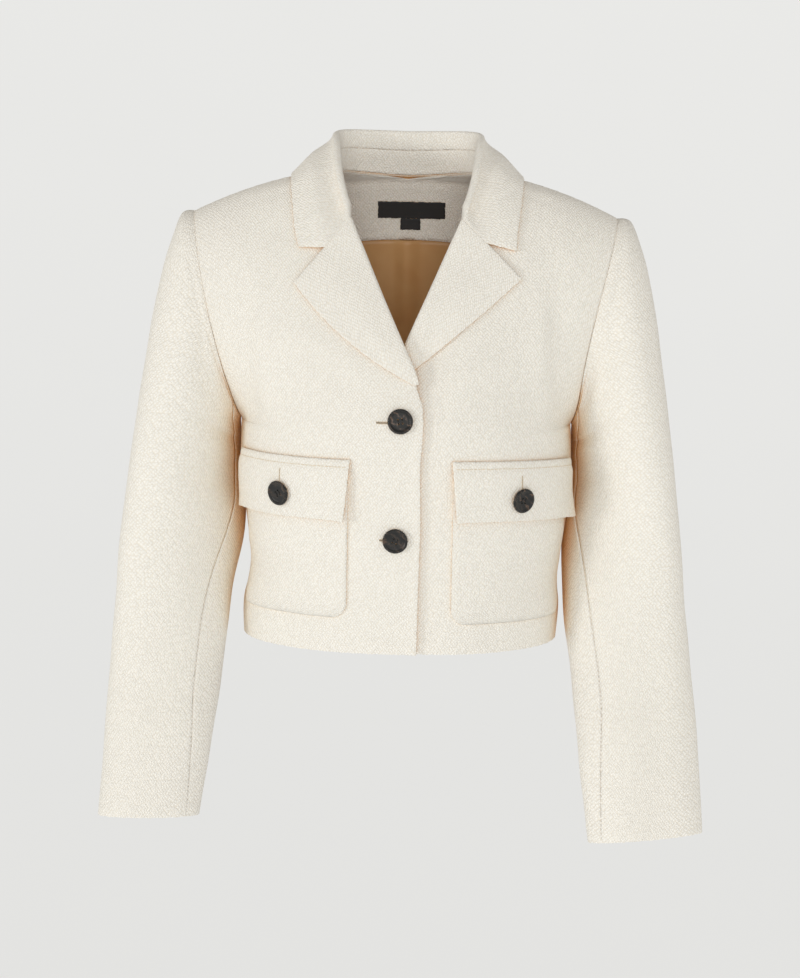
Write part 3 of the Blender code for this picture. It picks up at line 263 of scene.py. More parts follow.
# ---------------------------------------------------------------- creases
# Soft troughs (negative) and ridges: start, end, half width, height. On the body a place is own x
# and height, and on a sleeve it is the share of the way down and the angle round it.
CREASES = {
    "front_right": (
        ((152, -92), (145, -246), 12, -2.3), ((139, -104), (131, -228), 10, 1.3),
        ((30, -205), (112, -158), 13, -0.9), ((34, -187), (104, -141), 11, 0.8),
        ((36, -352), (150, -371), 12, -1.0), ((46, -372), (148, -396), 14, 0.8),
        ((118, -44), (150, -80), 15, -1.4), ((112, -452), (118, -392), 15, -1.1),
        ((136, -452), (141, -380), 13, 1.0), ((148, -300), (152, -352), 12, -1.2),
    ),
    "front_left": (
        ((150, -88), (147, -232), 13, -2.0), ((136, -112), (133, -240), 11, 1.5),
        ((34, -216), (118, -182), 12, -0.8), ((40, -196), (108, -166), 12, 0.9),
        ((40, -366), (149, -350), 13, -1.1), ((60, -388), (150, -374), 12, 0.9),
        ((121, -50), (152, -92), 14, -1.2), ((96, -452), (90, -398), 16, -0.9),
        ((140, -452), (138, -392), 13, 1.1), ((150, -286), (147, -340), 11, -1.0),
    ),
    "back_right": (
        ((150, -84), (141, -252), 13, -2.4), ((131, -96), (124, -236), 12, 1.6),
        ((18, -322), (132, -340), 11, -1.3), ((16, -342), (118, -356), 10, 1.0),
        ((20, -368), (96, -384), 12, -0.9), ((26, -62), (92, -70), 12, -1.1),
        ((104, -452), (96, -396), 15, 1.1), ((70, -452), (66, -410), 13, -0.9),
        ((118, -300), (146, -262), 12, -1.2),
    ),
    "back_left": (
        ((149, -90), (144, -240), 12, -2.1), ((133, -100), (122, -254), 11, 1.7),
        ((18, -332), (140, -322), 12, -1.2), ((18, -350), (128, -342), 10, 0.9),
        ((18, -378), (110, -366), 12, -1.0), ((24, -60), (98, -74), 12, -1.0),
        ((112, -452), (108, -402), 14, 1.0), ((84, -452), (78, -404), 14, -1.0),
        ((124, -292), (148, -274), 11, -1.0),
    ),
    "sleeve_right": (
        ((0.10, 62), (0.40, 112), 15, -1.6), ((0.16, 84), (0.44, 130), 13, 1.1),
        ((0.49, 96), (0.54, 172), 11, -0.9), ((0.55, 104), (0.595, 178), 11, 0.7),
        ((0.62, 92), (0.66, 168), 12, -1.1), ((0.10, -58), (0.38, -98), 15, -1.9),
        ((0.22, -44), (0.46, -84), 13, 1.3), ((0.50, -150), (0.57, -92), 11, -1.8),
        ((0.60, -140), (0.66, -80), 12, 1.2), ((0.34, 14), (0.80, 30), 17, 0.9),
        ((0.66, 60), (0.92, 84), 13, -1.0), ((0.84, -20), (0.98, -44), 14, -0.9),
    ),
    "sleeve_left": (
        ((0.12, 56), (0.36, 104), 14, -1.5), ((0.18, 78), (0.42, 124), 12, 1.2),
        ((0.47, 88), (0.52, 170), 12, -0.9), ((0.53, 100), (0.57, 176), 11, 0.7),
        ((0.60, 98), (0.65, 174), 11, -1.1), ((0.67, 110), (0.72, 170), 11, 0.7),
        ((0.12, -52), (0.36, -92), 14, -1.7), ((0.20, -40), (0.44, -86), 13, 1.4),
        ((0.48, -146), (0.55, -86), 12, -1.7), ((0.30, 10), (0.74, 34), 16, 0.9),
        ((0.70, 50), (0.95, 76), 14, -1.1), ((0.82, -26), (0.97, -52), 13, -1.0),
    ),
}
CREASE_FADE_X, CREASE_FADE_T, CREASE_FADE_LEVEL = (14.0, 24.0), 0.10, 0.10
CREASE_BOW, CREASE_OVERRUN, CREASE_TAPER = 0.3, 0.18, 0.45   # of its width, of its length
UNEVEN = (
    # wave vector in radians a millimetre along x, y and z, phase, height
    ((0.061, 0.022, 0.031), 0.4, 0.16), ((-0.034, 0.045, 0.072), 2.1, 0.15),
    ((0.093, -0.051, -0.058), 4.4, 0.09), ((0.020, 0.070, -0.110), 1.3, 0.09),
)
RIPPLES = (
    # waves a millimetre along an edge, phase, share
    (0.071, 0.3, 0.45), (0.113, 2.2, 0.35), (0.187, 4.0, 0.35), (0.291, 1.1, 0.25),
)

SIDES = {"front": -1.0, "back": 1.0}
ARMHOLE_AXIS = np.array([SHOULDER_Z - UNDERARM_Z, 0.0, UNDERARM_X - SHOULDER_X])
ARMHOLE_AXIS /= np.linalg.norm(ARMHOLE_AXIS)
BISECTIONS, NORMAL_STEP, ARC_SAMPLES = 26, 0.004, 241

# ---------------------------------------------------------------- camera and studio
CAMERA_AZIMUTH, CAMERA_ELEVATION, CAMERA_ROLL = 0.5, 9.0, 1.1
CAMERA_DISTANCE, CAMERA_LENS, SENSOR = 2.4, 90.15, 36.0
IMAGE_WIDTH, IMAGE_HEIGHT = 800, 978
SHOULDERS_PIXEL, SHOULDERS_POINT = (407.0, 213.25), (0.0, 0.0, -0.035)
FLOOR_Z, PAPER_FLAT, PAPER_BEND, PAPER_HEIGHT = -1.35, (1.5, 3.0, 4.2), 2.2, 3.4
PAPER_TURNS, PAPER_SIDES = np.linspace(8, 90, 12), 96
LIGHTS_AIM = (0.0, 0.0, -0.3)


# ================================================================ curves
def curve(table, at):
    """A smooth line through a table's rows: the first column is the key, the second is read."""
    keys = np.array([row[0] for row in table], float)
    values = np.array([row[1] for row in table], float)
    at = np.asarray(at, float)
    slopes = np.gradient(values, keys, axis=0)
    low = np.clip(np.searchsorted(keys, at, side="right") - 1, 0, len(keys) - 2)
    span = keys[low + 1] - keys[low]
    f = np.clip((at - keys[low]) / span, 0.0, 1.0)
    if values.ndim > 1:
        f, span = f[..., None], span[..., None]
    start = (1 + 2 * f) * (1 - f) ** 2 * values[low] + f * (1 - f) ** 2 * span * slopes[low]
    end = f ** 2 * (3 - 2 * f) * values[low + 1] + f ** 2 * (f - 1) * span * slopes[low + 1]
    return start + end


def smooth(f):
    f = np.clip(f, 0.0, 1.0)
    return f * f * (3 - 2 * f)


def unit(vectors):
    return vectors / np.maximum(np.linalg.norm(vectors, axis=-1, keepdims=True), 1e-9)


def solve(function, target, low, high):
    """Where a rising function meets its target, for whole arrays."""
    target = np.asarray(target, float)
    low = np.full(target.shape, float(low))
    high = np.full(target.shape, float(high))
    for _ in range(BISECTIONS):
        middle = (low + high) / 2
        below = function(middle) < target
        low = np.where(below, middle, low)
        high = np.where(below, high, middle)
    return (low + high) / 2


def creases(places, table, scale=(1.0, 1.0)):
    """Height of the soft troughs and ridges of a table at each place."""
    scale = np.array(scale)
    places = places * scale
    height = np.zeros(places.shape[:-1])
    for start, end, width, depth in table:
        start, end = np.array(start) * scale, np.array(end) * scale
        line = end - start
        along = np.sum((places - start) * line, axis=-1) / np.sum(line * line)
        off = places - start - along[..., None] * line
        bow = np.sin(np.clip(along, 0, 1) * math.pi) * width * CREASE_BOW
        across = np.cross(line / np.linalg.norm(line), off) - bow
        taper = smooth((along + CREASE_OVERRUN) / CREASE_TAPER)
        taper = taper * smooth((1 + CREASE_OVERRUN - along) / CREASE_TAPER)
        height += depth * np.exp(-(across / width) ** 2) * taper
    return height


def ripple(along):
    """An irregular wave along an edge, within about one."""
    return sum(share * np.sin(math.tau * waves * along + phase) for waves, phase, share in RIPPLES)


def uneven(points):
    """The cloth's own unevenness, in whatever it is made up."""
    return sum(height * np.sin(points @ np.array(wave) + phase) for wave, phase, height in UNEVEN)


def lengths_along(points):
    """Distance along a line from its first point to each of its points."""
    return np.concatenate([[0], np.cumsum(np.linalg.norm(np.diff(points, axis=0), axis=1))])


# ================================================================ the body's form
def armhole(angle, side):
    """Point of the armhole: angle 0 at the shoulder, 180 at the underarm."""
    a = np.radians(angle)
    x = (SHOULDER_X + UNDERARM_X) / 2 + (SHOULDER_X - UNDERARM_X) / 2 * np.cos(a)
    y = SIDES[side] * ARMHOLE_DEPTH * np.sin(a)
    z = (SHOULDER_Z + UNDERARM_Z) / 2 + (SHOULDER_Z - UNDERARM_Z) / 2 * np.cos(a)
    return x + ARMHOLE_SCOOP[side] * np.sin(a) ** 2, y, z


def level_of_angle(angle):
    """Levels run from -1 at the hem, past 0 at the underarm, to 1 at the shoulder seam."""
    return 1 - np.asarray(angle, float) / 180


def level_of_height(z):
    return (np.asarray(z, float) - UNDERARM_Z) / (UNDERARM_Z - HEM_Z)


def body(level, t, side):
    """Point of the body's outer face: t runs from 0 at the middle to 1 at the side or armhole."""
    level, t = np.broadcast_arrays(np.asarray(level, float), np.asarray(t, float))
    sign = SIDES[side]
    below = level < 0
    angle = 180 * (1 - np.clip(level, 0, 1))
    low_z = UNDERARM_Z + np.minimum(level, 0) * (UNDERARM_Z - HEM_Z)
    arm_x, arm_y, arm_z = armhole(angle, side)
    outer_x = np.where(below, curve(BODY_WIDTHS, low_z), arm_x)
    outer_z = np.where(below, low_z, arm_z)
    middle_z = np.where(below, low_z, curve(ROW_HEIGHTS[side], angle))
    middle_y = sign * curve(BODY_DEPTHS[side], middle_z)
    lean = math.pi / 2 * (angle / 180) ** LEAN_POWER
    bend = (np.abs(middle_y) - np.abs(arm_y)) * np.sin(lean)
    reach = SECTION_FULLNESS * np.hypot(bend, SECTION_REACH * outer_x * np.cos(lean))
    s = np.abs(t)
    near, far, end = 3 * (1 - s) ** 2 * s, 3 * (1 - s) * s ** 2, s ** 3
    x = near * SECTION_FULLNESS * outer_x + far * (outer_x - reach * np.cos(lean)) + end * outer_x
    y = (1 - far - end) * middle_y + far * (arm_y + sign * reach * np.sin(lean)) + end * arm_y
    z = middle_z + (outer_z - middle_z) * (x / outer_x) ** ROW_DROP_POWER
    return np.stack([x * np.sign(t), y, z], -1)


def body_normal(level, t, side):
    level, t = np.broadcast_arrays(np.asarray(level, float), np.asarray(t, float))
    above, under = np.clip(level + NORMAL_STEP, -1, 1), np.clip(level - NORMAL_STEP, -1, 1)
    beyond, before = np.clip(t + NORMAL_STEP, -1, 1), np.clip(t - NORMAL_STEP, -1, 1)
    up = body(above, t, side) - body(under, t, side)
    out = body(level, beyond, side) - body(level, before, side)
    return unit(-SIDES[side] * np.cross(out, up))


def t_at_x(level, x, side):
    """How far along a row own x lies."""
    x = np.asarray(x, float)
    level = np.broadcast_to(level, x.shape)
    return np.sign(x) * solve(lambda t: body(level, t, side)[..., 0], np.abs(x), 0, 1)


def level_at(x, z, side):
    return solve(lambda level: body(level, t_at_x(level, x, side), side)[..., 2], z, -1, 1)


def tuck(x, z, hand):
    """How far the left front lies inside the body's form, to pass under the right one."""
    if hand == "right":
        return np.zeros_like(x)
    fades = {name: 1 - smooth((x - start) / run) for name, (start, run) in TUCK_FADE.items()}
    at_break = np.exp(-((z - TUCK_BREAK_Z) / TUCK_BREAK_REACH) ** 2) * fades["break"]
    return TUCK["overlap"] * fades["overlap"] + TUCK["break"] * at_break


def body_creases(point, level, t, side, hand):
    """The body's creases, which fade out towards its seams, the middle and the neck."""
    start, run = CREASE_FADE_X
    fade = smooth((point[..., 0] - start) / run) * smooth((1 - t) / CREASE_FADE_T)
    fade = fade * smooth((1 - level) / CREASE_FADE_LEVEL)
    return (creases(point[..., [0, 2]], CREASES[f"{side}_{hand}"]) + uneven(point)) * fade


def fullness(x, z):
    """How much further out the left side stands at own x and z."""
    return curve(LEFT_FULLNESS, z) * smooth((x - FULLNESS_START) / FULLNESS_RUN)


def on_body(level, t, side, lift=0.0, hand="right"):
    """Point that stands a lift above the body's creased face, on the side and hand given."""
    point = body(level, t, side)
    level, t = np.broadcast_arrays(level, t)
    lift = np.broadcast_to(np.asarray(lift, float), point.shape[:-1])
    lift = lift + body_creases(point, level, t, side, hand)
    if side == "front":
        lift = lift - tuck(point[..., 0], point[..., 2], hand)
    point = point + body_normal(level, t, side) * lift[..., None]
    if hand == "left":
        point[..., 0] += fullness(point[..., 0], point[..., 2])
    return point


def over_front(x, z, lift, hand):
    """Point that stands a lift above the front at own x and z."""
    x, z, lift = np.broadcast_arrays(np.asarray(x, float), np.asarray(z, float), lift)
    level = level_at(x, z, "front")
    return on_body(level, t_at_x(level, x, "front"), "front", lift, hand)


def roll_x(z):
    return curve(ROLL_LINE, z)


def front_edge_t(level):
    """Where the front's cut edge crosses each row."""
    low, high = ALLOWANCE_Z
    x = np.zeros_like(level)
    for _ in range(BISECTIONS):
        z = body(level, t_at_x(level, x, "front"), "front")[..., 2]
        x = (x + roll_x(z) + ROLL_ALLOWANCE * smooth((z - low) / (high - low))) / 2
    return t_at_x(level, x, "front")


def back_neck_t(level):
    angle = 180 * (1 - level)
    x = NECK_HALF_WIDTH * np.sqrt(np.clip(1 - (angle / BACK_NECK_ANGLE) ** 2, 0, 1))
    return t_at_x(level, x, "back")


def arc_length(level, t, side="front"):
    """Length along one row from the middle to each t."""
    fine = np.linspace(0, 1, ARC_SAMPLES)
    return np.sign(t) * np.interp(np.abs(t), fine, lengths_along(body(level, fine, side)))


def arc_to_t(level, arc):
    fine = np.linspace(0, 1, ARC_SAMPLES)
    return np.interp(arc, arc_length(level, fine), fine)


# ================================================================ cloth from grids
def facing_out(grid):
    """Outward direction at each point of a grid whose columns x rows point out."""
    across = grid[1:, 1:] - grid[:-1, :-1]
    against = grid[1:, :-1] - grid[:-1, 1:]
    facets = unit(np.cross(across, against))
    around = np.pad(facets, ((1, 1), (1, 1), (0, 0)), mode="reflect", reflect_type="odd")
    return unit(around[1:, 1:] + around[1:, :-1] + around[:-1, 1:] + around[:-1, :-1])


def reaches(grid):
    """Distance along the cloth from each point of a grid to its low, high, near and far edge."""
    rows = np.linalg.norm(np.diff(grid, axis=0), axis=2)
    columns = np.linalg.norm(np.diff(grid, axis=1), axis=2)
    up = np.pad(np.cumsum(rows, axis=0), ((1, 0), (0, 0)))
    out = np.pad(np.cumsum(columns, axis=1), ((0, 0), (1, 0)))
    return {"low": up, "high": up[-1:] - up, "near": out, "far": out[:, -1:] - out}


def refine(grid, rows, columns):
    """A smooth grid through a coarse one, read at fractional rows and columns."""
    tall = curve(list(enumerate(grid.reshape(len(grid), -1))), rows)
    tall = tall.reshape(len(rows), grid.shape[1], 3).swapaxes(0, 1)
    wide = curve(list(enumerate(tall.reshape(len(tall), -1))), columns)
    return wide.reshape(len(columns), len(rows), 3).swapaxes(0, 1)


def finer(keys, steps):
    """A list of keys with each span cut into a number of steps."""
    keys = np.asarray(keys, float)
    return np.interp(np.arange((len(keys) - 1) * steps + 1) / steps, np.arange(len(keys)), keys)


def panel(grid, folds=(), seams=(), thickness=TWEED, shift=0.0, lined=None, grain=None,
          meets=None, flush=()):
    """A sheet of cloth on a grid of its visible face. A folded edge is rounded and wavers, and a
    seam's edge rolls down and ripples. shift is where each row's own near edge lies on the grain,
    unless the grain is given whole, and lined marks the hidden points that show the lining. meets
    is the outward direction of the cloth that the low edge is sewn to."""
    reach = reaches(grid)
    out = facing_out(grid)
    if meets is not None:
        least, run = MEETING
        alike = smooth((np.sum(meets * out[0], axis=-1, keepdims=True) - least) / run)
        out[0] = unit(out[0] * (1 - alike) + meets * alike)
    sink = np.zeros(grid.shape[:2])
    free = np.zeros(grid.shape[:2])
    moved = grid.copy()
    for edge in (*folds, *seams):
        away = reach[edge]
        along = reach["low"] if edge in ("near", "far") else reach["near"]
        if edge in seams:
            depth = FLUSH if edge in flush else 1.0
            sink += depth * SEAM_DIP * np.exp(-(away / SEAM_DIP_REACH) ** 2)
            sink += (depth * PUCKER * ripple(along) * np.exp(-away / PUCKER_REACH)
                     * smooth(away / PUCKER_START))
            continue
        free[{"low": 0, "high": -1}.get(edge, slice(None)),
             {"near": 0, "far": -1}.get(edge, slice(None))] = 1
        axis, toward = {"near": (1, -1), "far": (1, 1), "low": (0, -1), "high": (0, 1)}[edge]
        outward = unit(np.gradient(grid, axis=axis)) * toward
        waver = EDGE_WAVER * ripple(along) * np.exp(-(away / WAVER_REACH) ** 2)
        moved = moved + outward * waver[..., None]
    visible = moved - out * sink[..., None]
    hidden = moved - out * np.maximum(thickness, sink + thickness * LEAST_WALL)[..., None]
    faces = np.stack([visible, hidden], axis=2)
    faces[grid[..., 0] == 0, :, 0] = 0
    if grain is None:
        grain = np.stack([reach["near"] + shift, reach["low"]], -1)
    if lined is None:
        lined = np.zeros(grid.shape[:2], bool)
    return {"faces": faces, "free": free, "grain": grain, "lined": lined}


def mirrored(sheet, axis=1):
    """The same sheet on the other side of the centre line, still facing out: its columns, or for
    axis 0 its rows, change their order."""
    turned = {key: np.flip(value, axis) for key, value in sheet.items()}
    turned["faces"] = turned["faces"] * MIRROR
    turned["grain"] = turned["grain"] * np.array([-1, 1])
    return turned


def sew(name, sheets, finishes, hand="left", bulge=FOLD_BULGE):
    """One closed piece of cloth, with a rounded rim. Sheets that share points are sewn into one."""
    flat = {key: np.concatenate([s[key].reshape(-1, *s[key].shape[2:]) for s in sheets])
            for key in sheets[0]}
    keys = np.round(flat["faces"][:, 0], 3) + 0.0
    _, first, ids = np.unique(keys, axis=0, return_index=True, return_inverse=True)
    ids = ids.reshape(-1)
    both, grain = flat["faces"][first], flat["grain"][first]
    free, lined = flat["free"][first], flat["lined"][first]
    quads, start = [], 0
    for sheet in sheets:
        rows, columns = sheet["free"].shape
        grid = ids[start:start + rows * columns].reshape(rows, columns)
        start += rows * columns
        quads.append(np.stack([grid[:-1, :-1], grid[:-1, 1:], grid[1:, 1:], grid[1:, :-1]],
                              -1).reshape(-1, 4))
    quads = np.concatenate(quads)
    visible = [list(dict.fromkeys(quad)) for quad in quads.tolist()]
    visible = [face for face in visible if len(face) > 2]
    edges = {pair for face in visible for pair in zip(face, face[1:] + face[:1])}
    rim = sorted((a, b) for a, b in edges if (b, a) not in edges)

    count = len(both)
    middle, wall = both.mean(axis=1), (both[:, 0] - both[:, 1]) / 2
    outward = np.zeros((count, 3))
    for a, b in rim:
        side = np.cross(both[b, 0] - both[a, 0], wall[a])
        outward[a] += side
        outward[b] += side
    rim_points = sorted({a for edge in rim for a in edge})
    place = {point: i for i, point in enumerate(rim_points)}
    out = unit(outward[rim_points])
    half = wall[rim_points]
    reach = SEAM_BULGE + (bulge - SEAM_BULGE) * free[rim_points]
    points, rings = [both[:, 0], both[:, 1]], []
    for turn in RIM_TURNS:
        angle = math.radians(turn)
        rings.append(sum(len(p) for p in points))
        points.append(middle[rim_points] + out * (reach * math.sin(angle))[:, None]
                      + half * math.cos(angle))
    faces = visible + [[v + count for v in reversed(face)] for face in visible]
    inner = [False] * len(visible) + [bool(lined[face].all()) for face in visible]
    for a, b in rim:
        ladder = [(a, b)] + [(ring + place[a], ring + place[b]) for ring in rings]
        ladder.append((a + count, b + count))
        for (a0, b0), (a1, b1) in zip(ladder, ladder[1:]):
            faces.append([b0, a0, a1, b1])
            inner.append(False)
    grain = np.concatenate([grain, grain] + [grain[rim_points]] * len(rings))
    piece = add_piece(name, mesh_for(name, np.concatenate(points), faces, hand), *finishes)
    mesh = piece.data
    grain_map = mesh.uv_layers.new(name="grain")
    corners = np.empty(len(mesh.loops), int)
    mesh.loops.foreach_get("vertex_index", corners)
    grain_map.data.foreach_set("uv", (grain[corners] * MM).astype(np.float32).ravel())
    if any(inner):
        mesh.polygons.foreach_set("material_index", np.array(inner, np.int32))
    area = sum(cloth_area(sheet["faces"][:, :, 0]) for sheet in sheets)
    spans = [np.ptp(np.concatenate([s["grain"][..., i].ravel() for s in sheets])) for i in (0, 1)]
    piece["cut"] = [spans[0] * MM, spans[1] * MM, area * MM * MM]
    return piece


def cloth_area(grid):
    across, up = grid[1:, 1:] - grid[:-1, :-1], grid[1:, :-1] - grid[:-1, 1:]
    return float(np.linalg.norm(np.cross(across, up), axis=-1).sum() / 2)


def mesh_for(name, points, faces, hand):
    """A smooth mesh of points in millimetres, which the right hand mirrors."""
    if hand == "right":
        points, faces = points * MIRROR, [face[::-1] for face in faces]
    mesh = bpy.data.meshes.new(name)
    mesh.from_pydata((points * MM).tolist(), [], faces)
    mesh.shade_smooth()
    return mesh


def mesh_of(name, work):
    """The mesh of a bmesh, which is then freed."""
    mesh = bpy.data.meshes.new(name)
    work.to_mesh(mesh)
    work.free()
    return mesh


def put_in_scene(name, data):
    made = bpy.data.objects.new(name, data)
    bpy.context.scene.collection.objects.link(made)
    return made


def add_piece(name, mesh, *finishes):
    """A piece of the jacket that rides on its one body."""
    piece = put_in_scene(name, mesh)
    for finish in finishes:
        mesh.materials.append(finish)
    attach(piece, "root")
    return piece


def cut_from_flat(piece, node):
    """Hides the piece's CAD part and drops the flat cloth size that sew stored on it."""
    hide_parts(node)
    del piece["cut"]


# ================================================================ materials
def linear(hex_colour, alpha=1.0):
    """A linear colour from its sRGB hex value."""
    value = hex_colour.lstrip("#")
    channels = [int(value[i:i + 2], 16) / 255 for i in (0, 2, 4)]
    return (*[c / 12.92 if c <= 0.04045 else ((c + 0.055) / 1.055) ** 2.4 for c in channels], alpha)


def feed(tree, node, inputs):
    """Sets a node's sockets: each to a value of its own, or to the socket that feeds it."""
    for name, value in inputs.items():
        if isinstance(value, bpy.types.NodeSocket):
            tree.links.new(value, node.inputs[name])
        else:
            node.inputs[name].default_value = value


def add(tree, kind, options=None, inputs=None):
    """Adds a node: options are its own settings, inputs are values or the sockets that feed it."""
    made = tree.nodes.new(kind)
    for name, value in (options or {}).items():
        setattr(made, name, value)
    feed(tree, made, inputs or {})
    return made


def new_material(name):
    material = bpy.data.materials.new(name)
    material.use_nodes = True
    tree = material.node_tree
    return material, tree, tree.nodes["Principled BSDF"]


def boucle_tweed():
    """Cream boucle tweed: slubbed wool and cotton yarns in a hopsack weave, steamed and pressed.
    The yarns show as pebbles about 2.3 mm apart in staggered diagonal rows, matt with a faint
    bloom of loose fibre; the gaps between them are painted shade, a warmer, deeper cream. Nooks
    close to other cloth are painted shade too, a soft tan found by ambient occlusion."""
    material, tree, shader = new_material("boucle_tweed")
    grain = add(tree, "ShaderNodeUVMap", {"uv_map": "grain"}).outputs["UV"]
    drift = add(tree, "ShaderNodeTexNoise", {"noise_dimensions": "2D"},
                {"Vector": grain, "Scale": 90.0, "Detail": 2.0, "Roughness": 0.6})
    drift = add(tree, "ShaderNodeVectorMath", {"operation": "SUBTRACT"},
                {0: drift.outputs["Color"], 1: (0.5, 0.5, 0.5)}).outputs["Vector"]
    drift = add(tree, "ShaderNodeVectorMath", {"operation": "SCALE"},
                {0: drift, "Scale": 0.0012}).outputs["Vector"]
    bent = add(tree, "ShaderNodeVectorMath", {"operation": "ADD"},
               {0: grain, 1: drift}).outputs["Vector"]
    turned = add(tree, "ShaderNodeMapping", {"vector_type": "POINT"},
                 {"Vector": bent, "Rotation": (0.0, 0.0, math.radians(45)),
                  "Scale": (1.0, 0.8, 1.0)}).outputs["Vector"]
    pebbles = add(tree, "ShaderNodeTexVoronoi",
                  {"voronoi_dimensions": "2D", "feature": "SMOOTH_F1"},
                  {"Vector": turned, "Scale": 440.0, "Randomness": 0.45, "Smoothness": 0.22})
    fibre = add(tree, "ShaderNodeTexNoise", {"noise_dimensions": "2D"},
                {"Vector": grain, "Scale": 1500.0, "Detail": 3.0, "Roughness": 0.7})
    slub = add(tree, "ShaderNodeTexNoise", {"noise_dimensions": "2D"},
               {"Vector": bent, "Scale": 145.0, "Detail": 2.0, "Roughness": 0.5})
    height = add(tree, "ShaderNodeMapRange", {"interpolation_type": "SMOOTHSTEP"},
                 {"Value": pebbles.outputs["Distance"], "From Min": 0.72, "From Max": 0.06,
                  "To Min": 0.0, "To Max": 1.0}).outputs["Result"]
    rough = add(tree, "ShaderNodeMath", {"operation": "MULTIPLY_ADD"},
                {0: fibre.outputs["Fac"], 1: 0.5, 2: height}).outputs["Value"]
    rough = add(tree, "ShaderNodeMath", {"operation": "MULTIPLY_ADD"},
                {0: slub.outputs["Fac"], 1: 0.22, 2: rough}).outputs["Value"]
    bump = add(tree, "ShaderNodeBump", None,
               {"Height": rough, "Strength": 0.85, "Distance": 0.0007})
    # painted shade: the hollows between the pebbles are coloured a darker, warmer cream
    yarn_and_painted_shade = add(tree, "ShaderNodeMix", {"data_type": "RGBA"},
               {"Factor": height, 6: linear("#EEE8DC"), 7: linear("#F9F7F1")}).outputs[2]
    tone = add(tree, "ShaderNodeSeparateColor", None,
               {"Color": pebbles.outputs["Color"]}).outputs["Red"]
    tone = add(tree, "ShaderNodeMapRange", None,
               {"Value": tone, "To Min": 0.965, "To Max": 1.025}).outputs["Result"]
    yarn_and_painted_shade = add(tree, "ShaderNodeVectorMath", {"operation": "SCALE"},
               {0: yarn_and_painted_shade, "Scale": tone}).outputs["Vector"]
    # painted shade: where ambient occlusion finds other cloth close by, near and farther off, the
    # colour is multiplied towards tan
    for distance, most, least, colour in ((0.024, 0.6, 0.08, "#F9D19A"),
                                          (0.13, 0.5, 0.15, "#FCEBD0")):
        open_air = add(tree, "ShaderNodeAmbientOcclusion", {"samples": 2},
                       {"Distance": distance}).outputs["AO"]
        painted_nook_shade = add(tree, "ShaderNodeMapRange", {"interpolation_type": "SMOOTHSTEP"},
                   {"Value": open_air, "From Min": most, "From Max": least}).outputs["Result"]
        yarn_and_painted_shade = add(tree, "ShaderNodeMix", {"data_type": "RGBA", "blend_type": "MULTIPLY"},
                   {"Factor": painted_nook_shade, 6: yarn_and_painted_shade, 7: linear(colour)}).outputs[2]
    feed(tree, shader, {"Base Color": yarn_and_painted_shade, "Normal": bump.outputs["Normal"], "Roughness": 0.88,
                        "IOR": 1.5, "Specular IOR Level": 0.25, "Sheen Weight": 0.08,
                        "Sheen Roughness": 0.6, "Sheen Tint": linear("#FFF4E2")})
    return material


def satin_lining():
    """Tan viscose satin, woven and calendered: smooth, with a soft shine across the fine warp
    floats. The floats are drawn 1 mm apart, about three times their size, so that they show."""
    material, tree, shader = new_material("satin_lining")
    grain = add(tree, "ShaderNodeUVMap", {"uv_map": "grain"}).outputs["UV"]
    stretched = add(tree, "ShaderNodeMapping", None,
                    {"Vector": grain, "Scale": (1.0, 0.12, 1.0),
                     "Rotation": (0.0, 0.0, math.radians(4))}).outputs["Vector"]
    floats = add(tree, "ShaderNodeTexNoise", {"noise_dimensions": "2D"},
                 {"Vector": stretched, "Scale": 1000.0, "Detail": 2.0})
    sway = add(tree, "ShaderNodeTexNoise", {"noise_dimensions": "2D"},
               {"Vector": grain, "Scale": 26.0, "Detail": 2.0})
    colour = add(tree, "ShaderNodeMix", {"data_type": "RGBA"},
                 {"Factor": sway.outputs["Fac"], 6: linear("#BF8C56"), 7: linear("#D2A874")})
    folds = add(tree, "ShaderNodeMath", {"operation": "MULTIPLY_ADD"},
                {0: floats.outputs["Fac"], 1: 0.06, 2: sway.outputs["Fac"]}).outputs["Value"]
    bump = add(tree, "ShaderNodeBump", None,
               {"Height": folds, "Strength": 0.5, "Distance": 0.0016})
    feed(tree, shader, {"Base Color": colour.outputs[2], "Normal": bump.outputs["Normal"],
                        "Roughness": 0.42, "Specular IOR Level": 0.5, "Anisotropic": 0.4,
                        "Sheen Weight": 0.1})
    return material


def woven_label():
    """Black polyester damask tape, jacquard woven and folded: ribbed, with a dull satin shine."""
    material, tree, shader = new_material("woven_label")
    grain = add(tree, "ShaderNodeUVMap", {"uv_map": "grain"}).outputs["UV"]
    ribs = add(tree, "ShaderNodeTexWave", {"wave_type": "BANDS", "bands_direction": "Y"},
               {"Vector": grain, "Scale": 250.0, "Distortion": 0.4, "Detail": 1.0})
    threads = add(tree, "ShaderNodeTexNoise", {"noise_dimensions": "2D"},
                  {"Vector": grain, "Scale": 900.0, "Detail": 2.0})
    weave = add(tree, "ShaderNodeMath", {"operation": "ADD"},
                {0: ribs.outputs["Fac"], 1: threads.outputs["Fac"]}).outputs["Value"]
    colour = add(tree, "ShaderNodeMix", {"data_type": "RGBA"},
                 {"Factor": weave, 6: linear("#070708"), 7: linear("#141416")})
    bump = add(tree, "ShaderNodeBump", None,
               {"Height": weave, "Strength": 0.4, "Distance": 0.0002})
    feed(tree, shader, {"Base Color": colour.outputs[2], "Normal": bump.outputs["Normal"],
                        "Roughness": 0.55, "Sheen Weight": 0.15})
    return material


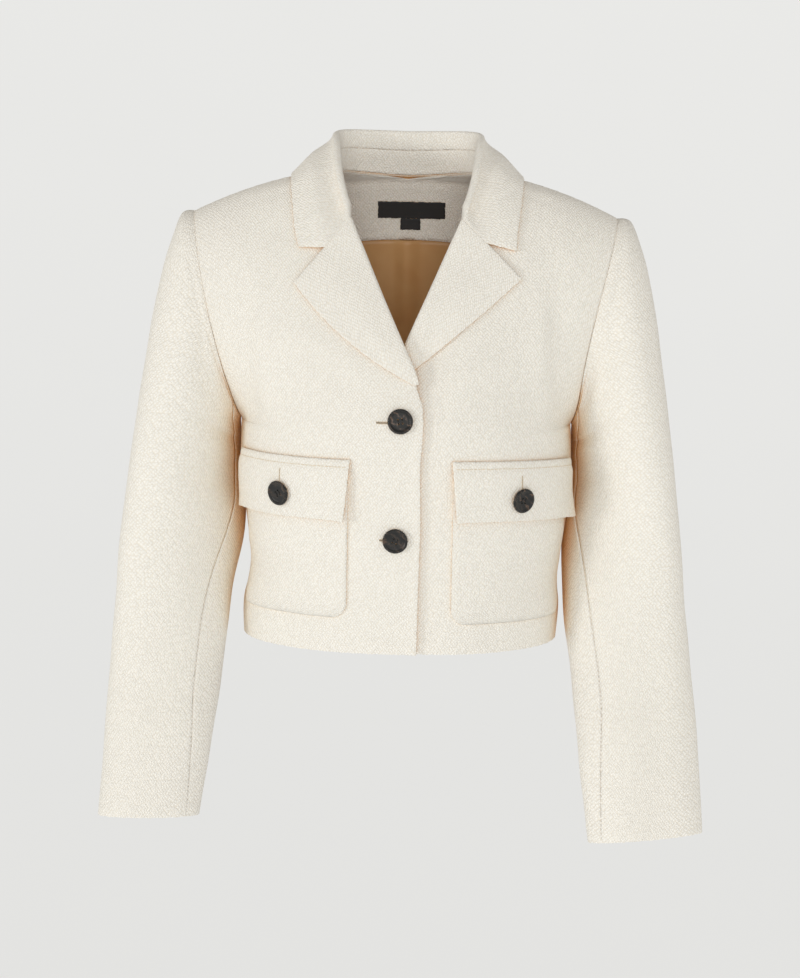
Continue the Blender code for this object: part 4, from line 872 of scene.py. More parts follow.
def horn_resin():
    """Cast polyester resin marbled like buffalo horn, turned and tumbled: near black with smoky
    grey-brown veins under a soft polish."""
    material, tree, shader = new_material("horn_resin")
    place = add(tree, "ShaderNodeTexCoord").outputs["Object"]
    cloud = add(tree, "ShaderNodeTexNoise", None,
                {"Vector": place, "Scale": 90.0, "Detail": 4.0, "Roughness": 0.62,
                 "Distortion": 1.2})
    veins = add(tree, "ShaderNodeTexWave", {"wave_type": "BANDS", "bands_direction": "DIAGONAL"},
                {"Vector": place, "Scale": 60.0, "Distortion": 9.0, "Detail": 3.0,
                 "Detail Scale": 1.6})
    mixed = add(tree, "ShaderNodeMath", {"operation": "MULTIPLY"},
                {0: cloud.outputs["Fac"], 1: veins.outputs["Fac"]}).outputs["Value"]
    ramp = add(tree, "ShaderNodeValToRGB", None, {"Fac": mixed})
    stops = ((0.0, "#0C0C0A"), (0.3, "#151411"), (0.48, "#2A231D"), (0.64, "#5C483A"))
    while len(ramp.color_ramp.elements) < len(stops):
        ramp.color_ramp.elements.new(0.5)
    for element, (position, colour) in zip(ramp.color_ramp.elements, stops):
        element.position = position
        element.color = linear(colour)
    bump = add(tree, "ShaderNodeBump", None,
               {"Height": mixed, "Strength": 0.25, "Distance": 0.0001})
    feed(tree, shader, {"Base Color": ramp.outputs["Color"], "Normal": bump.outputs["Normal"],
                        "Roughness": 0.27, "IOR": 1.54, "Specular IOR Level": 0.4,
                        "Coat Weight": 0.12, "Coat Roughness": 0.25})
    return material


def spun_thread(name, light, dark):
    """Spun polyester sewing thread, twisted from two plies: matt, with painted shade in the grooves
    between its plies.
    """
    material, tree, shader = new_material(name)
    place = add(tree, "ShaderNodeTexCoord").outputs["Object"]
    ply = add(tree, "ShaderNodeTexWave", {"wave_type": "BANDS", "bands_direction": "DIAGONAL"},
              {"Vector": place, "Scale": 900.0, "Distortion": 1.0})
    colour = add(tree, "ShaderNodeMix", {"data_type": "RGBA"},
                 {"Factor": ply.outputs["Fac"], 6: linear(dark), 7: linear(light)})
    bump = add(tree, "ShaderNodeBump", None,
               {"Height": ply.outputs["Fac"], "Strength": 0.4, "Distance": 0.0001})
    feed(tree, shader, {"Base Color": colour.outputs[2], "Normal": bump.outputs["Normal"],
                        "Roughness": 0.75, "Sheen Weight": 0.2})
    return material


def studio_paper():
    """Matt seamless studio paper in pale grey, with a faint felt mottle."""
    material, tree, shader = new_material("studio_paper")
    place = add(tree, "ShaderNodeTexCoord").outputs["Object"]
    mottle = add(tree, "ShaderNodeTexNoise", None, {"Vector": place, "Scale": 3.0, "Detail": 3.0})
    colour = add(tree, "ShaderNodeMix", {"data_type": "RGBA"},
                 {"Factor": mottle.outputs["Fac"], 6: linear("#5E5E5E"), 7: linear("#616161")})
    feed(tree, shader, {"Base Color": colour.outputs[2], "Emission Color": linear("#E6E6E4"),
                        "Emission Strength": 0.88, "Roughness": 0.95, "Specular IOR Level": 0.1})
    return material


# ================================================================ fronts and back
def body_levels():
    """Rows of the body, close together all the way up."""
    low = np.linspace(-1, 0, BODY_ROWS["low"], endpoint=False)
    return np.concatenate([low, np.linspace(0, 1, BODY_ROWS["arm"])])


def front_grid(hand):
    levels = body_levels()
    edge = front_edge_t(levels)[:, None]
    t = edge + (1 - edge) * np.linspace(0, 1, FRONT_COLUMNS + 1)
    grid = on_body(levels[:, None], t, "front", 0.0, hand)
    grid[..., 1] = np.minimum(grid[..., 1], -SEAM_GAP / 2)
    start = np.array([arc_length(level, e[0]) for level, e in zip(levels, edge)])
    return grid, start


def make_front(hand, tweed, satin):
    grid, start = front_grid(hand)
    reach = reaches(grid)
    if hand == "right":
        top, fade = CURL_Z
        curl = EDGE_CURL * np.exp(-(reach["near"] / CURL_REACH) ** 2)
        grid = grid + facing_out(grid) * (curl * smooth((top - grid[..., 2]) / fade))[..., None]
    lined = (reach["near"] > FACING_WIDTH) & (reach["low"] > TURN_UP)
    sheet = panel(grid, folds=("near", "low"), seams=("far", "high"), shift=start[:, None],
                  lined=lined, flush=("far",))
    piece = sew(f"front_{hand}_cloth", [sheet], (tweed, satin), hand)
    cut_from_flat(piece, f"front_{hand}")


def back_half(hand):
    """Grid of the back's visible face on one side, from the armhole to the middle."""
    levels = body_levels()
    inner = back_neck_t(levels)
    t = inner[:, None] + (1 - inner[:, None]) * np.linspace(1, 0, BACK_COLUMNS + 1)
    grid = on_body(levels[:, None], t, "back", 0.0, hand)
    grid[..., 1] = np.maximum(grid[..., 1], SEAM_GAP / 2)
    grid[t == 0, 0] = 0
    neck = np.array([arc_length(level, t0, "back") for level, t0 in zip(levels, inner)])
    return grid, neck


def make_back(tweed, satin):
    halves = []
    for hand in ("left", "right"):
        grid, neck = back_half(hand)
        reach = reaches(grid)
        sheet = panel(grid, folds=("low",), seams=("near", "high"), lined=reach["low"] > TURN_UP,
                      flush=("near",))
        sheet["grain"][..., 0] = reach["far"] + neck[:, None]
        halves.append(sheet)
    piece = sew("back_cloth", [halves[0], mirrored(halves[1])], (tweed, satin))
    cut_from_flat(piece, "back")


# ================================================================ inside the back
def inside_back(levels, share, below, hand):
    """Grid of a face inside the back, from the middle or the neck outward to a share of the
    row, at a distance below the back's visible face. It faces in."""
    inner = back_neck_t(levels)[:, None]
    t = inner + (1 - inner) * share
    level = levels[:, None] + 0 * t
    grid = on_body(level, t, "back", 0.0, hand) - body_normal(level, t, "back") * below[..., None]
    grid[..., 1] = np.maximum(grid[..., 1], SEAM_GAP / 2)
    grid[t == 0, 0] = 0
    return grid


def make_neck_facing(tweed):
    levels = level_of_angle(np.linspace(FACING_ANGLE, 0, FACING_FINENESS["rows"]))
    columns = np.linspace(0, FACING_SHARE, FACING_FINENESS["columns"])
    halves = []
    for hand in ("left", "right"):
        thickness = np.full((len(levels), len(columns)), TWEED)
        flat = inside_back(levels, columns, thickness, hand)
        neck = flat[180 * (1 - levels) <= BACK_NECK_ANGLE, 0]
        away = np.linalg.norm(flat[:, :, None] - neck, axis=-1).min(axis=-1)
        thickness = thickness - FACING_ROLL["depth"] * np.exp(-(away / FACING_ROLL["reach"]) ** 2)
        grid = inside_back(levels, columns, TWEED + SEAM_GAP + thickness, hand)
        halves.append(panel(grid, seams=("low", "far"), thickness=thickness))
    piece = sew("back_neck_facing_cloth", [halves[0], mirrored(halves[1])], (tweed,))
    cut_from_flat(piece, "back_neck_facing")


def make_back_lining(satin):
    """Lining of the back, with a centre pleat that opens towards the neck."""
    low, top = float(level_of_height(LINING_HEM_Z)), FACING_ANGLE + LINING_TRIM
    levels = np.concatenate([np.linspace(low, 0, LINING_FINENESS["low"]),
                             level_of_angle(np.linspace(180, top, LINING_FINENESS["arm"]))[1:]])
    columns = np.concatenate([
        np.linspace(0, PLEAT_WIDTH, LINING_FINENESS["pleat"]),
        np.linspace(PLEAT_WIDTH, LINING_SHARE, LINING_FINENESS["columns"])[1:]])
    wide, narrow = PLEAT_ANGLES
    strength = smooth((wide - 180 * (1 - levels)) / (wide - narrow))[:, None]
    ridge = (PLEAT_DEPTH * strength
             * np.cos(np.clip(columns / PLEAT_WIDTH, 0, 1) * math.pi / 2) ** 2)
    halves = []
    for hand in ("left", "right"):
        grid = inside_back(levels, columns, TWEED + SEAM_GAP + SATIN + ridge, hand)
        halves.append(panel(grid, folds=("low",), seams=("high", "far"), thickness=SATIN))
    piece = sew("back_lining_cloth", [halves[0], mirrored(halves[1])], (satin,),
                bulge=LINING_BULGE)
    cut_from_flat(piece, "back_lining")


def make_tapes(label):
    """Label and size tab, sewn flat on the neck facing."""
    for name, tape in TAPES.items():
        x, z = np.meshgrid(np.linspace(*tape["x"], tape["columns"]),
                           np.linspace(*tape["z"], tape["rows"]))
        level = level_at(np.abs(x), z, "back")
        t = t_at_x(level, np.abs(x), "back")
        below = 2 * TWEED + 2 * SEAM_GAP + TAPE
        point = body(level, t, "back") - body_normal(level, t, "back") * below
        point[..., 0] = np.where(x < 0, -point[..., 0], point[..., 0])
        point[..., 1] -= np.sin(np.linspace(0, math.pi, tape["columns"])) * TAPE_BOW
        sheet = panel(point, folds=("near", "far", "low", "high"), thickness=TAPE)
        piece = sew(f"{name}_tape", [sheet], (label,), bulge=TAPE_BULGE)
        cut_from_flat(piece, name)


# ================================================================ sleeves
def sleeve_point(k, angle, hand):
    """Point of the sleeve: k runs from 0 at the armhole to 1 at the cuff, angle 0 is the outer
    side, 90 the front, 180 the side next to the body."""
    k, angle = np.broadcast_arrays(k, angle)
    shares = np.linspace(0, 1, len(SLEEVE))
    pose = smooth((k - CUFF_POSE_START) / (1 - CUFF_POSE_START))
    ring = curve(list(zip(shares, SLEEVE)), k) + pose[..., None] * np.array(CUFF_POSE[hand])
    outer_x, outer_z, inner_x, inner_z, middle_y, depth, behind = np.moveaxis(ring, -1, 0)
    across, along = np.sin(np.radians(angle)), np.cos(np.radians(angle))
    scoop = np.where(across > 0, ARMHOLE_SCOOP["front"], ARMHOLE_SCOOP["back"])
    scoop = scoop * np.clip(1 - k / SCOOP_FADE, 0, 1)
    x = (outer_x + inner_x) / 2 + (outer_x - inner_x) / 2 * along + scoop * across ** 2
    y = middle_y - depth * across - behind * along
    tilt = math.radians(SLEEVE_TILT) * smooth((k - TILT_START) / (1 - TILT_START))
    z = (outer_z + inner_z) / 2 + (outer_z - inner_z) / 2 * along + depth * across * np.sin(tilt)
    if hand == "left":
        apart = smooth(k / SIDE_START)
        x = x + (1 - apart) * fullness(x, z) + apart * curve(LEFT_SIDE, k) * (1 - along) / 2
    return np.stack([x, y, z], -1)


def armhole_normal(angle):
    """Outward direction of the body's cloth at angles round the armhole."""
    turn = np.asarray(angle, float) % 360
    level = level_of_angle(np.minimum(turn, 360 - turn))
    front, back = (body_normal(level, 1.0, side) for side in ("front", "back"))
    return np.where((turn < 180)[:, None], front, back)


def straight_grain(grid, angle):
    """Place on the flat cloth of each point of a sleeve: how far it lies round the sleeve from
    the outer side, and how far down it, with the way over the sleeve's head counted in."""
    x, y, z = np.moveaxis(grid, -1, 0)
    rows = np.array(SLEEVE[:GRAIN_ROW - 1:-1])
    outer_x, outer_z, inner_x, inner_z, middle_y, depth = rows.T[:6]
    columns = ((outer_x + inner_x) / 2, middle_y, (depth + (outer_x - inner_x) / 2) / 2)
    middle_x, middle_y, radius = (np.interp(z, (outer_z + inner_z) / 2, column)
                                  for column in columns)
    facing = np.radians(angle.mean(axis=-1, keepdims=True))
    turn = np.arctan2(middle_y - y, x - middle_x) - facing
    turn = (turn + math.pi) % math.tau - math.pi + facing
    over_head = (x - SHOULDER_X) * smooth((z - HEAD_Z) / HEAD_RUN)
    return np.stack([radius * turn, HEAD_SHARE * over_head - z], -1)


def make_sleeve(hand, tweed, satin):
    """Top and under sleeve, parted at the front and the back seam."""
    k = np.linspace(0, 1, SLEEVE_ROWS)[:, None] ** ROW_CROWDING
    front_seam = curve(FRONT_SEAM, k)
    ends = {
        "top": (BACK_SEAM + SEAM_ANGLE, front_seam - SEAM_ANGLE),
        "under": (front_seam + SEAM_ANGLE, 360 + BACK_SEAM - SEAM_ANGLE),
    }
    scale = (SLEEVE_LENGTH, SLEEVE_GIRTH_RADIUS * math.pi / 180)
    table = CREASES[f"sleeve_{hand}"]
    for piece, (start, end) in ends.items():
        angle = start + (end - start) * np.linspace(0, 1, SLEEVE_COLUMNS[piece] + 1)
        grid = sleeve_point(k, angle, hand)
        by_front = np.stack(np.broadcast_arrays(k, angle % 360), -1)
        by_back = np.stack(np.broadcast_arrays(k, (angle + 180) % 360 - 180), -1)
        height = creases(by_front, [row for row in table if row[0][1] > 0], scale)
        height += creases(by_back, [row for row in table if row[0][1] < 0], scale)
        height += uneven(grid)
        height *= smooth(k / SLEEVE_FADE["armhole"]) * smooth((1 - k) / SLEEVE_FADE["cuff"])
        grid = grid + facing_out(grid) * height[..., None]
        grid[0] += ARMHOLE_AXIS * SEAM_GAP
        reach = reaches(grid)
        sheet = panel(grid, folds=("high",), seams=("low", "near", "far"),
                      lined=reach["high"] > TURN_UP, grain=straight_grain(grid, angle),
                      meets=armhole_normal(angle[0]), flush=("low", "near", "far"))
        made = sew(f"{piece}_sleeve_{hand}_cloth", [sheet], (tweed, satin), hand)
        cut_from_flat(made, f"{piece}_sleeve_{hand}")


# ================================================================ lapels and collar
def gorge_point(hand):
    """The roll where the gorge seam meets it, and the direction of the seam to the tip."""
    start = np.array([float(roll_x(GORGE_Z)), GORGE_Z])
    return start, unit(np.array(LAPEL_TIP[hand]) - start)


def make_lapel(hand, tweed):
    start = np.array([float(roll_x(BREAK_Z)) + LAPEL_START, BREAK_Z - LAPEL_DROP])
    tip, belly = np.array(LAPEL_TIP[hand]), np.array(LAPEL_BELLY[hand])
    along = gorge_point(hand)[1]
    seam_side = np.array([along[1], -along[0]]) * SEAM_GAP / 2
    u = np.linspace(0, 1, LAPEL_FINENESS["rows"])[:, None]
    z = BREAK_Z + (GORGE_Z - BREAK_Z) * u[:, 0]
    roll = np.stack([roll_x(z), z], -1)
    edge = (1 - u) ** 2 * start + 2 * (1 - u) * u * belly + u ** 2 * tip
    roll[-1] += seam_side
    edge[-1] += seam_side
    width = np.linalg.norm(edge - roll, axis=1, keepdims=True)
    wrap = curve(list(enumerate(LAPEL_WRAP)),
                 finer(range(len(LAPEL_WRAP)), LAPEL_FINENESS["wrap"]))
    share = np.linspace(0, 1, LAPEL_FINENESS["columns"])[1:]
    reach = np.concatenate([np.tile(wrap[:, 0], (len(u), 1)),
                            wrap[-1, 0] + (width - wrap[-1, 0]) * share], axis=1)
    flat = LAPEL_LIFT["roll"] + (LAPEL_LIFT["edge"] - LAPEL_LIFT["roll"]) * share
    flat = wrap[-1, 1] + (flat - wrap[-1, 1]) * smooth(share / LAPEL_SETTLE)
    rounded = LAPEL_BELLY_LIFT * np.sin(math.pi * share) ** 2 * np.sin(math.pi * u)
    lift = np.concatenate([np.tile(wrap[:, 1], (len(u), 1)), flat + rounded], axis=1)
    low = np.minimum(lift, LAPEL_LIFT["break"])
    lift = low + (lift - low) * smooth(u / LAPEL_BREAK_SHARE)
    full = smooth(u / LAPEL_THIN["share"])
    lift = np.minimum(lift, LAPEL_THIN["lift"]) * (1 - full) + lift * full
    thickness = LAPEL_THIN["thickness"] * (1 - full) + TWEED * full
    at = roll[:, None] + unit(edge - roll)[:, None] * reach[..., None]
    grid = over_front(at[..., 0], at[..., 1], lift, hand)
    sheet = panel(grid, folds=("far",), seams=("high",), thickness=thickness)
    piece = sew(f"lapel_{hand}_cloth", [sheet], (tweed,), hand)
    cut_from_flat(piece, f"lapel_{hand}")


def neck_seam(angle):
    """Point of the neck seam, the panel's outward direction there and the direction out of the
    panel into the neck."""
    def at(a):
        level = level_of_angle(np.abs(a))
        front, back = front_edge_t(level), back_neck_t(level)
        in_front = (a > 0)[:, None]
        point = np.where(in_front, body(level, front, "front"), body(level, back, "back"))
        out = np.where(in_front, body_normal(level, front, "front"),
                       body_normal(level, back, "back"))
        return point, out
    point, out = at(angle)
    nearer = np.maximum(angle - NECK_STEP, -BACK_NECK_ANGLE + NECK_END)
    along = unit(at(angle + NECK_STEP)[0] - at(nearer)[0])
    return point, out, unit(np.cross(along, out))


def collar_profiles():
    """Key points of the collar's visible face at every station, from the leaf's edge over the
    crest of the roll to the neck seam."""
    last = COLLAR[-1][0]
    station = np.linspace(0, last, 2 * last + 1)
    values = curve(COLLAR, station)
    crest, neck, leaf, leaf_x = values[:, :3], values[:, 3], values[:, 4], values[:, 5]
    seam, out, into = neck_seam(neck)
    edges = []
    for angle, x in zip(leaf, leaf_x):
        level, side = level_of_angle(abs(angle)), "back" if angle < 0 else "front"
        edges.append(on_body(level, t_at_x(level, np.array(x), side), side, LEAF_LIFT))
    edge = np.array(edges)
    upright, run = UPRIGHT_STATIONS
    weight = smooth((station - upright) / run)[:, None]
    up = unit(np.array([0, 0, 1]) * (1 - weight) + out * weight)
    away = edge - seam
    away = unit(away - np.sum(away * up, axis=1, keepdims=True) * up)
    beside = np.abs(np.sum(away * into, axis=1, keepdims=True))
    foot = seam - out * TWEED / 2 + into * (SEAM_GAP + TWEED / 2 * beside) - away * TWEED / 2
    shoulder_out, turn_out, turn_in, shoulder_in = (
        crest + away * ROLL_RADIUS * math.sin(turn) - up * ROLL_RADIUS * (1 - math.cos(turn))
        for turn in (math.pi / 2, math.pi / 4, -math.pi / 4, -math.pi / 2))
    chord = shoulder_out - edge
    bulge = unit(away * np.sum(chord * up, axis=1, keepdims=True)
                 - up * np.sum(chord * away, axis=1, keepdims=True))
    middle = (shoulder_out + edge) / 2 + bulge * LEAF_FULLNESS
    points = np.stack([edge, middle, shoulder_out, turn_out, crest, turn_in, shoulder_in, foot], 1)
    points[0, :, 0] = 0
    return points, values[:, 6]


def along_profile(points, keys):
    """Smooth line through a profile's key points, read at fractional keys."""
    lengths = lengths_along(points)
    at = np.interp(keys, np.arange(len(points)), lengths)
    return curve(list(zip(lengths, points)), at)


def gorge_end(hand, columns):
    """The collar's front end: along the lapel to the notch, then across to the corner."""
    gorge, along = gorge_point(hand)
    shift = np.array([-along[1], along[0]]) * SEAM_GAP / 2
    notch = (NOTCH_X - gorge[0]) / along[0]
    full = np.linalg.norm(np.array(LAPEL_TIP[hand]) - gorge)
    slope = (LAPEL_LIFT["edge"] - LAPEL_LIFT["roll"]) / full
    places = [(*COLLAR_CORNER[hand], LEAF_LIFT)]
    for reach in (notch, GORGE_RUN):
        places.append((*(gorge + along * reach), LAPEL_LIFT["roll"] + slope * reach))
    for reach, lift in LAPEL_WRAP[::-1]:
        places.append((*(gorge + along * reach), lift))
    places = np.array(places)
    places[1:, :2] += shift
    keys = np.arange(len(places))
    x, z, lift = (np.interp(columns, keys, places[:, i]) for i in range(3))
    return over_front(x, z, lift, hand)


def make_collar(tweed):
    """Collar fall from one lapel to the other, and the stand under it."""
    points, share = collar_profiles()
    last, crest = points.shape[1] - 1, LEG_KEYS[0]
    across, along = COLLAR_FINENESS["across"], COLLAR_FINENESS["along"]
    fall_keys = np.concatenate([finer(FALL_KEYS, across), finer(LEG_KEYS, across)[1:]])
    edges = {"fall": {"folds": ("near", "high"), "seams": ("far",)}, "stand": {"seams": ("near",)}}
    halves = {"fall": [], "stand": []}
    for hand in ("left", "right"):
        rows = {"fall": [], "stand": []}
        for profile, stand_share in zip(points, share):
            gap = SEAM_GAP / 2 / np.linalg.norm(profile[last] - profile[last - 1])
            top = last - stand_share
            keys = np.where(fall_keys > crest, crest + (fall_keys - crest) * (top - gap - crest),
                            fall_keys)
            rows["fall"].append(along_profile(profile, keys))
            keys = np.linspace(top + gap, last, COLLAR_FINENESS["stand"])
            rows["stand"].append(along_profile(profile, keys))
        rows["fall"].append(gorge_end(hand, fall_keys))
        for name, grid in rows.items():
            grid = refine(np.array(grid), finer(range(len(grid)), along), np.arange(len(grid[0])))
            grid[0, :, 0] = 0
            half = panel(grid, **edges[name])
            half["grain"] = half["grain"][..., ::-1]
            halves[name].append(half)
    for name, (left, right) in halves.items():
        piece = sew(f"collar_{name}_cloth", [left, mirrored(right, axis=0)], (tweed,))
        cut_from_flat(piece, f"collar_{name}")


# ================================================================ pockets
def make_pocket(hand, tweed):
    """A patch with its two lower corners rounded and its edges turned under."""
    low = POCKET_BOTTOM[hand]
    quarter = np.radians(np.linspace(0, 90, POCKET_FINENESS["corner"]))
    rows = np.concatenate([
        low + POCKET_CORNER * (1 - np.cos(quarter)),
        np.linspace(low + POCKET_CORNER, POCKET_TOP, POCKET_FINENESS["rows"])[1:]])
    grid = []
    for z in rows:
        level = float(level_of_height(z))
        start = arc_length(level, float(t_at_x(level, np.array(POCKET_X), "front")))
        climb = max(POCKET_CORNER - (z - low), 0.0)
        inset = POCKET_CORNER - math.sqrt(max(POCKET_CORNER ** 2 - climb ** 2, 0.0))
        arcs = np.linspace(start + inset, POCKET_END - inset, POCKET_FINENESS["columns"])
        grid.append(on_body(level, arc_to_t(level, arcs), "front", SEAM_GAP + TWEED, hand))
    sheet = panel(np.array(grid), seams=("low", "near", "far"), folds=("high",))
    piece = sew(f"pocket_{hand}_cloth", [sheet], (tweed,), hand)
    cut_from_flat(piece, f"pocket_{hand}")


def flap_share(z):
    """Share of the way down a flap at a height."""
    return (z - FLAP_Z[0]) / (FLAP_Z[1] - FLAP_Z[0])


def flap_point(down, across, hand, lift=0.0):
    """Point of a flap's visible face: shares of the way down and from inner to outer end."""
    droop = FLAP_DROOP[hand] * across ** 2
    level = level_of_height(FLAP_Z[0] + (FLAP_Z[1] - FLAP_Z[0]) * down - droop)
    inner = FLAP_INNER + FLAP_SLANT * down
    t = np.array([arc_to_t(row, start + (FLAP_END - start) * share)
                  for row, start, share in zip(level.flat, inner.flat, across.flat)])
    inner_lift, outer_lift = FLAP_CORNER_LIFT[hand]
    corner = down ** 2 * np.where(across < 0.5, inner_lift, outer_lift)
    corner = corner * np.abs(2 * across - 1) ** FLAP_CORNER_POWER
    beside = (down - FLAP_STITCH["down"]) / FLAP_STITCH["width"]
    groove = FLAP_STITCH["groove"] * np.exp(-beside ** 2)
    raised = curve(FLAP_LIFT, down + droop / (FLAP_Z[0] - FLAP_Z[1])) + corner - groove + lift
    return on_body(level, t.reshape(level.shape), "front", raised, hand)


def make_flap(hand, tweed, thread):
    down = np.linspace(1, 0, FLAP_FINENESS["rows"])
    across = np.linspace(0, 1, FLAP_FINENESS["columns"])
    grid = flap_point(*np.meshgrid(down, across, indexing="ij"), hand)
    sheet = panel(grid, folds=("low", "near", "far"), seams=("high",))
    stitched = np.linspace(*FLAP_STITCH["ends"], FLAP_FINENESS["stitched"])
    line = flap_point(np.full_like(stitched, FLAP_STITCH["down"]), stitched, hand,
                      FLAP_STITCH["lift"])
    stitches = topstitch(f"flap_{hand}_topstitch", line, thread, hand)
    piece = sew(f"flap_{hand}_cloth", [sheet], (tweed,), hand)
    cut_from_flat(piece, f"flap_{hand}")


# ================================================================ sewing thread
def tube(points, radius):
    """Vertices and faces of a thread along a line of points, closed at both ends."""
    points = np.asarray(points, float)
    sides = THREAD_SIDES
    forward = unit(np.gradient(points, axis=0))
    side = unit(np.cross(forward, THREAD_GUIDE))
    up = np.cross(forward, side)
    turns = np.arange(sides) * math.tau / sides
    ring = side[:, None] * np.cos(turns)[:, None] + up[:, None] * np.sin(turns)[:, None]
    rings = points[:, None] + ring * radius
    faces = []
    for start in range(0, (len(points) - 1) * sides, sides):
        for j in range(sides):
            k = (j + 1) % sides
            faces.append([start + j, start + sides + j, start + sides + k, start + k])
    last = (len(points) - 1) * sides
    faces.append(list(range(sides)))
    faces.append([last + j for j in reversed(range(sides))])
    return rings.reshape(-1, 3), faces


def thread_piece(name, lines, radius, finish, hand="left"):
    """Threads along several lines as one piece."""
    vertices, faces = [], []
    for line in lines:
        start = len(vertices)
        points, made = tube(line, radius)
        vertices += points.tolist()
        faces += [[v + start for v in face] for face in made]
    piece = add_piece(name, mesh_for(name, np.array(vertices), faces, hand), finish)
    return piece


def topstitch(name, line, thread, hand):
    """A row of stitches along a line, with a short gap where the thread is in the cloth."""
    lengths = lengths_along(line)
    length, gap = TOPSTITCH["length"], TOPSTITCH["gap"]
    stitches = []
    at = gap
    while at + length < lengths[-1]:
        where = np.linspace(at, at + length, TOPSTITCH["points"])
        stitches.append(np.stack([np.interp(where, lengths, line[:, i]) for i in range(3)], -1))
        at += length + gap
    return thread_piece(name, stitches, THREAD_RADIUS["topstitch"], thread, hand)


# ================================================================ buttons
def turned(profile, sides):
    """A bmesh turned from a profile of radius and height. A radius of nothing is one point."""
    work = bmesh.new()
    turns = [math.tau * i / sides for i in range(sides)]
    rings = []
    for radius, height in profile:
        around = turns if radius else turns[:1]
        rings.append([work.verts.new((radius * math.cos(a), radius * math.sin(a), height))
                      for a in around])
    for low, high in zip(rings, rings[1:]):
        for i in range(sides):
            j = (i + 1) % sides
            corners = [low[i % len(low)], high[i % len(high)], high[j % len(high)],
                       low[j % len(low)]]
            work.faces.new(list(dict.fromkeys(corners)))
    return work


def button_blank(name, holes_at):
    """The button's mesh, with its thread holes drilled, in millimetres about its own middle."""
    work = turned(BUTTON_PROFILE, BUTTON_SIDES)
    bmesh.ops.recalc_face_normals(work, faces=work.faces)
    blank = put_in_scene(name, mesh_of(name, work))
    drill = bmesh.new()
    for x, y in holes_at:
        bmesh.ops.create_cone(drill, cap_ends=True, segments=HOLE_SIDES, radius1=HOLE_RADIUS,
                              radius2=HOLE_RADIUS, depth=DRILL_LENGTH,
                              matrix=Matrix.Translation((x, y, 0)))
    drills = put_in_scene("drill", mesh_of("drill", drill))
    cut = blank.modifiers.new("holes", "BOOLEAN")
    cut.operation, cut.solver, cut.object = "DIFFERENCE", "EXACT", drills
    bpy.context.view_layer.update()
    shaped = bpy.data.meshes.new_from_object(
        blank.evaluated_get(bpy.context.evaluated_depsgraph_get()))
    bpy.data.objects.remove(blank)
    bpy.data.objects.remove(drills)
    return shaped


def make_button(node, point, out, spin, horn, thread):
    """A sewn-on button with a raised rim, four holes and its thread."""
    name = f"{node}_horn"
    holes_at = [(sx * HOLE_OFFSET, sy * HOLE_OFFSET) for sx in (-1, 1) for sy in (-1, 1)]
    shaped = button_blank(name, holes_at)
    axis = Vector(out)
    across = Vector((0, 0, 1)).cross(axis).normalized()
    up = axis.cross(across)
    turn = Matrix((across, up, axis)).transposed().to_4x4()
    place = Matrix.Translation(Vector(point)) @ turn @ Matrix.Rotation(math.radians(spin), 4, "Z")
    shaped.transform(Matrix.Scale(MM, 4) @ place)
    shaped.shade_smooth()
    shaped.set_sharp_from_angle(angle=math.radians(BUTTON_CREST))
    button = add_piece(name, shaped, horn)
    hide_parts(node)

    run = np.linspace(-1, 1, BUTTON_THREAD["points"])
    height = BUTTON_THREAD["top"] - BUTTON_THREAD["dive"] * np.abs(run) ** BUTTON_THREAD["bend"]
    lines = []
    for x in (-HOLE_OFFSET, HOLE_OFFSET):
        for nudge in (-BUTTON_THREAD["apart"], BUTTON_THREAD["apart"]):
            lines.append(np.stack([np.full(len(run), x + nudge),
                                   run * (HOLE_OFFSET + BUTTON_THREAD["past"]), height], -1))
    shank = np.linspace(*SHANK["z"], SHANK["points"])
    for x, y in holes_at:
        lines.append(np.stack([np.full(len(shank), x), np.full(len(shank), y), shank], -1))
    lines = [np.array([place @ Vector(p) for p in line]) for line in lines]
    thread_piece(f"{name}_thread", lines, THREAD_RADIUS["button"], thread)


def make_buttons(horn, thread):
    for name, (x, z) in FRONT_BUTTONS.items():
        level = level_of_height(z)
        t = t_at_x(level, np.array(x), "front")
        make_button(f"button_front_{name}", on_body(level, t, "front", BUTTON_LIFT) * MIRROR,
                    body_normal(level, t, "front") * MIRROR, BUTTON_SPIN[name], horn, thread)
    for hand, flip in (("right", MIRROR), ("left", 1)):
        arc, z = POCKET_BUTTONS[hand]
        level = level_of_height(z)
        t = arc_to_t(float(level), arc)
        lift = float(curve(FLAP_LIFT, flap_share(z))) + BUTTON_LIFT
        make_button(f"button_pocket_{hand}", on_body(level, t, "front", lift, hand) * flip,
                    body_normal(level, t, "front") * flip, BUTTON_SPIN[hand], horn, thread)


def make_buttonhole(name, line, thread, slit, hand, width):
    """A worked buttonhole: a slit with close stitches on both of its lips, and along the slit a
    dark tube that is painted shade in its opening.
    """
    forward = unit(np.gradient(line, axis=0))
    out = unit(np.cross(forward, np.cross(np.array([0.0, -1.0, 0.0]), forward)))
    side = np.cross(forward, out)
    arch = np.array(BUTTONHOLE_LIP) * [width, 1.0]
    lips = [line[i] + side[i] * arch[:, :1] * sign + out[i] * arch[:, 1:]
            for sign in (-1, 1) for i in range(len(line))]
    thread_piece(f"{name}_stitches", lips, THREAD_RADIUS["buttonhole"], thread, hand)
    # painted shade: a thin dark tube along the slit stands for the shade inside the opening
    thread_piece(f"{name}_slit", [line], SLIT_SHARE * width, slit, hand)


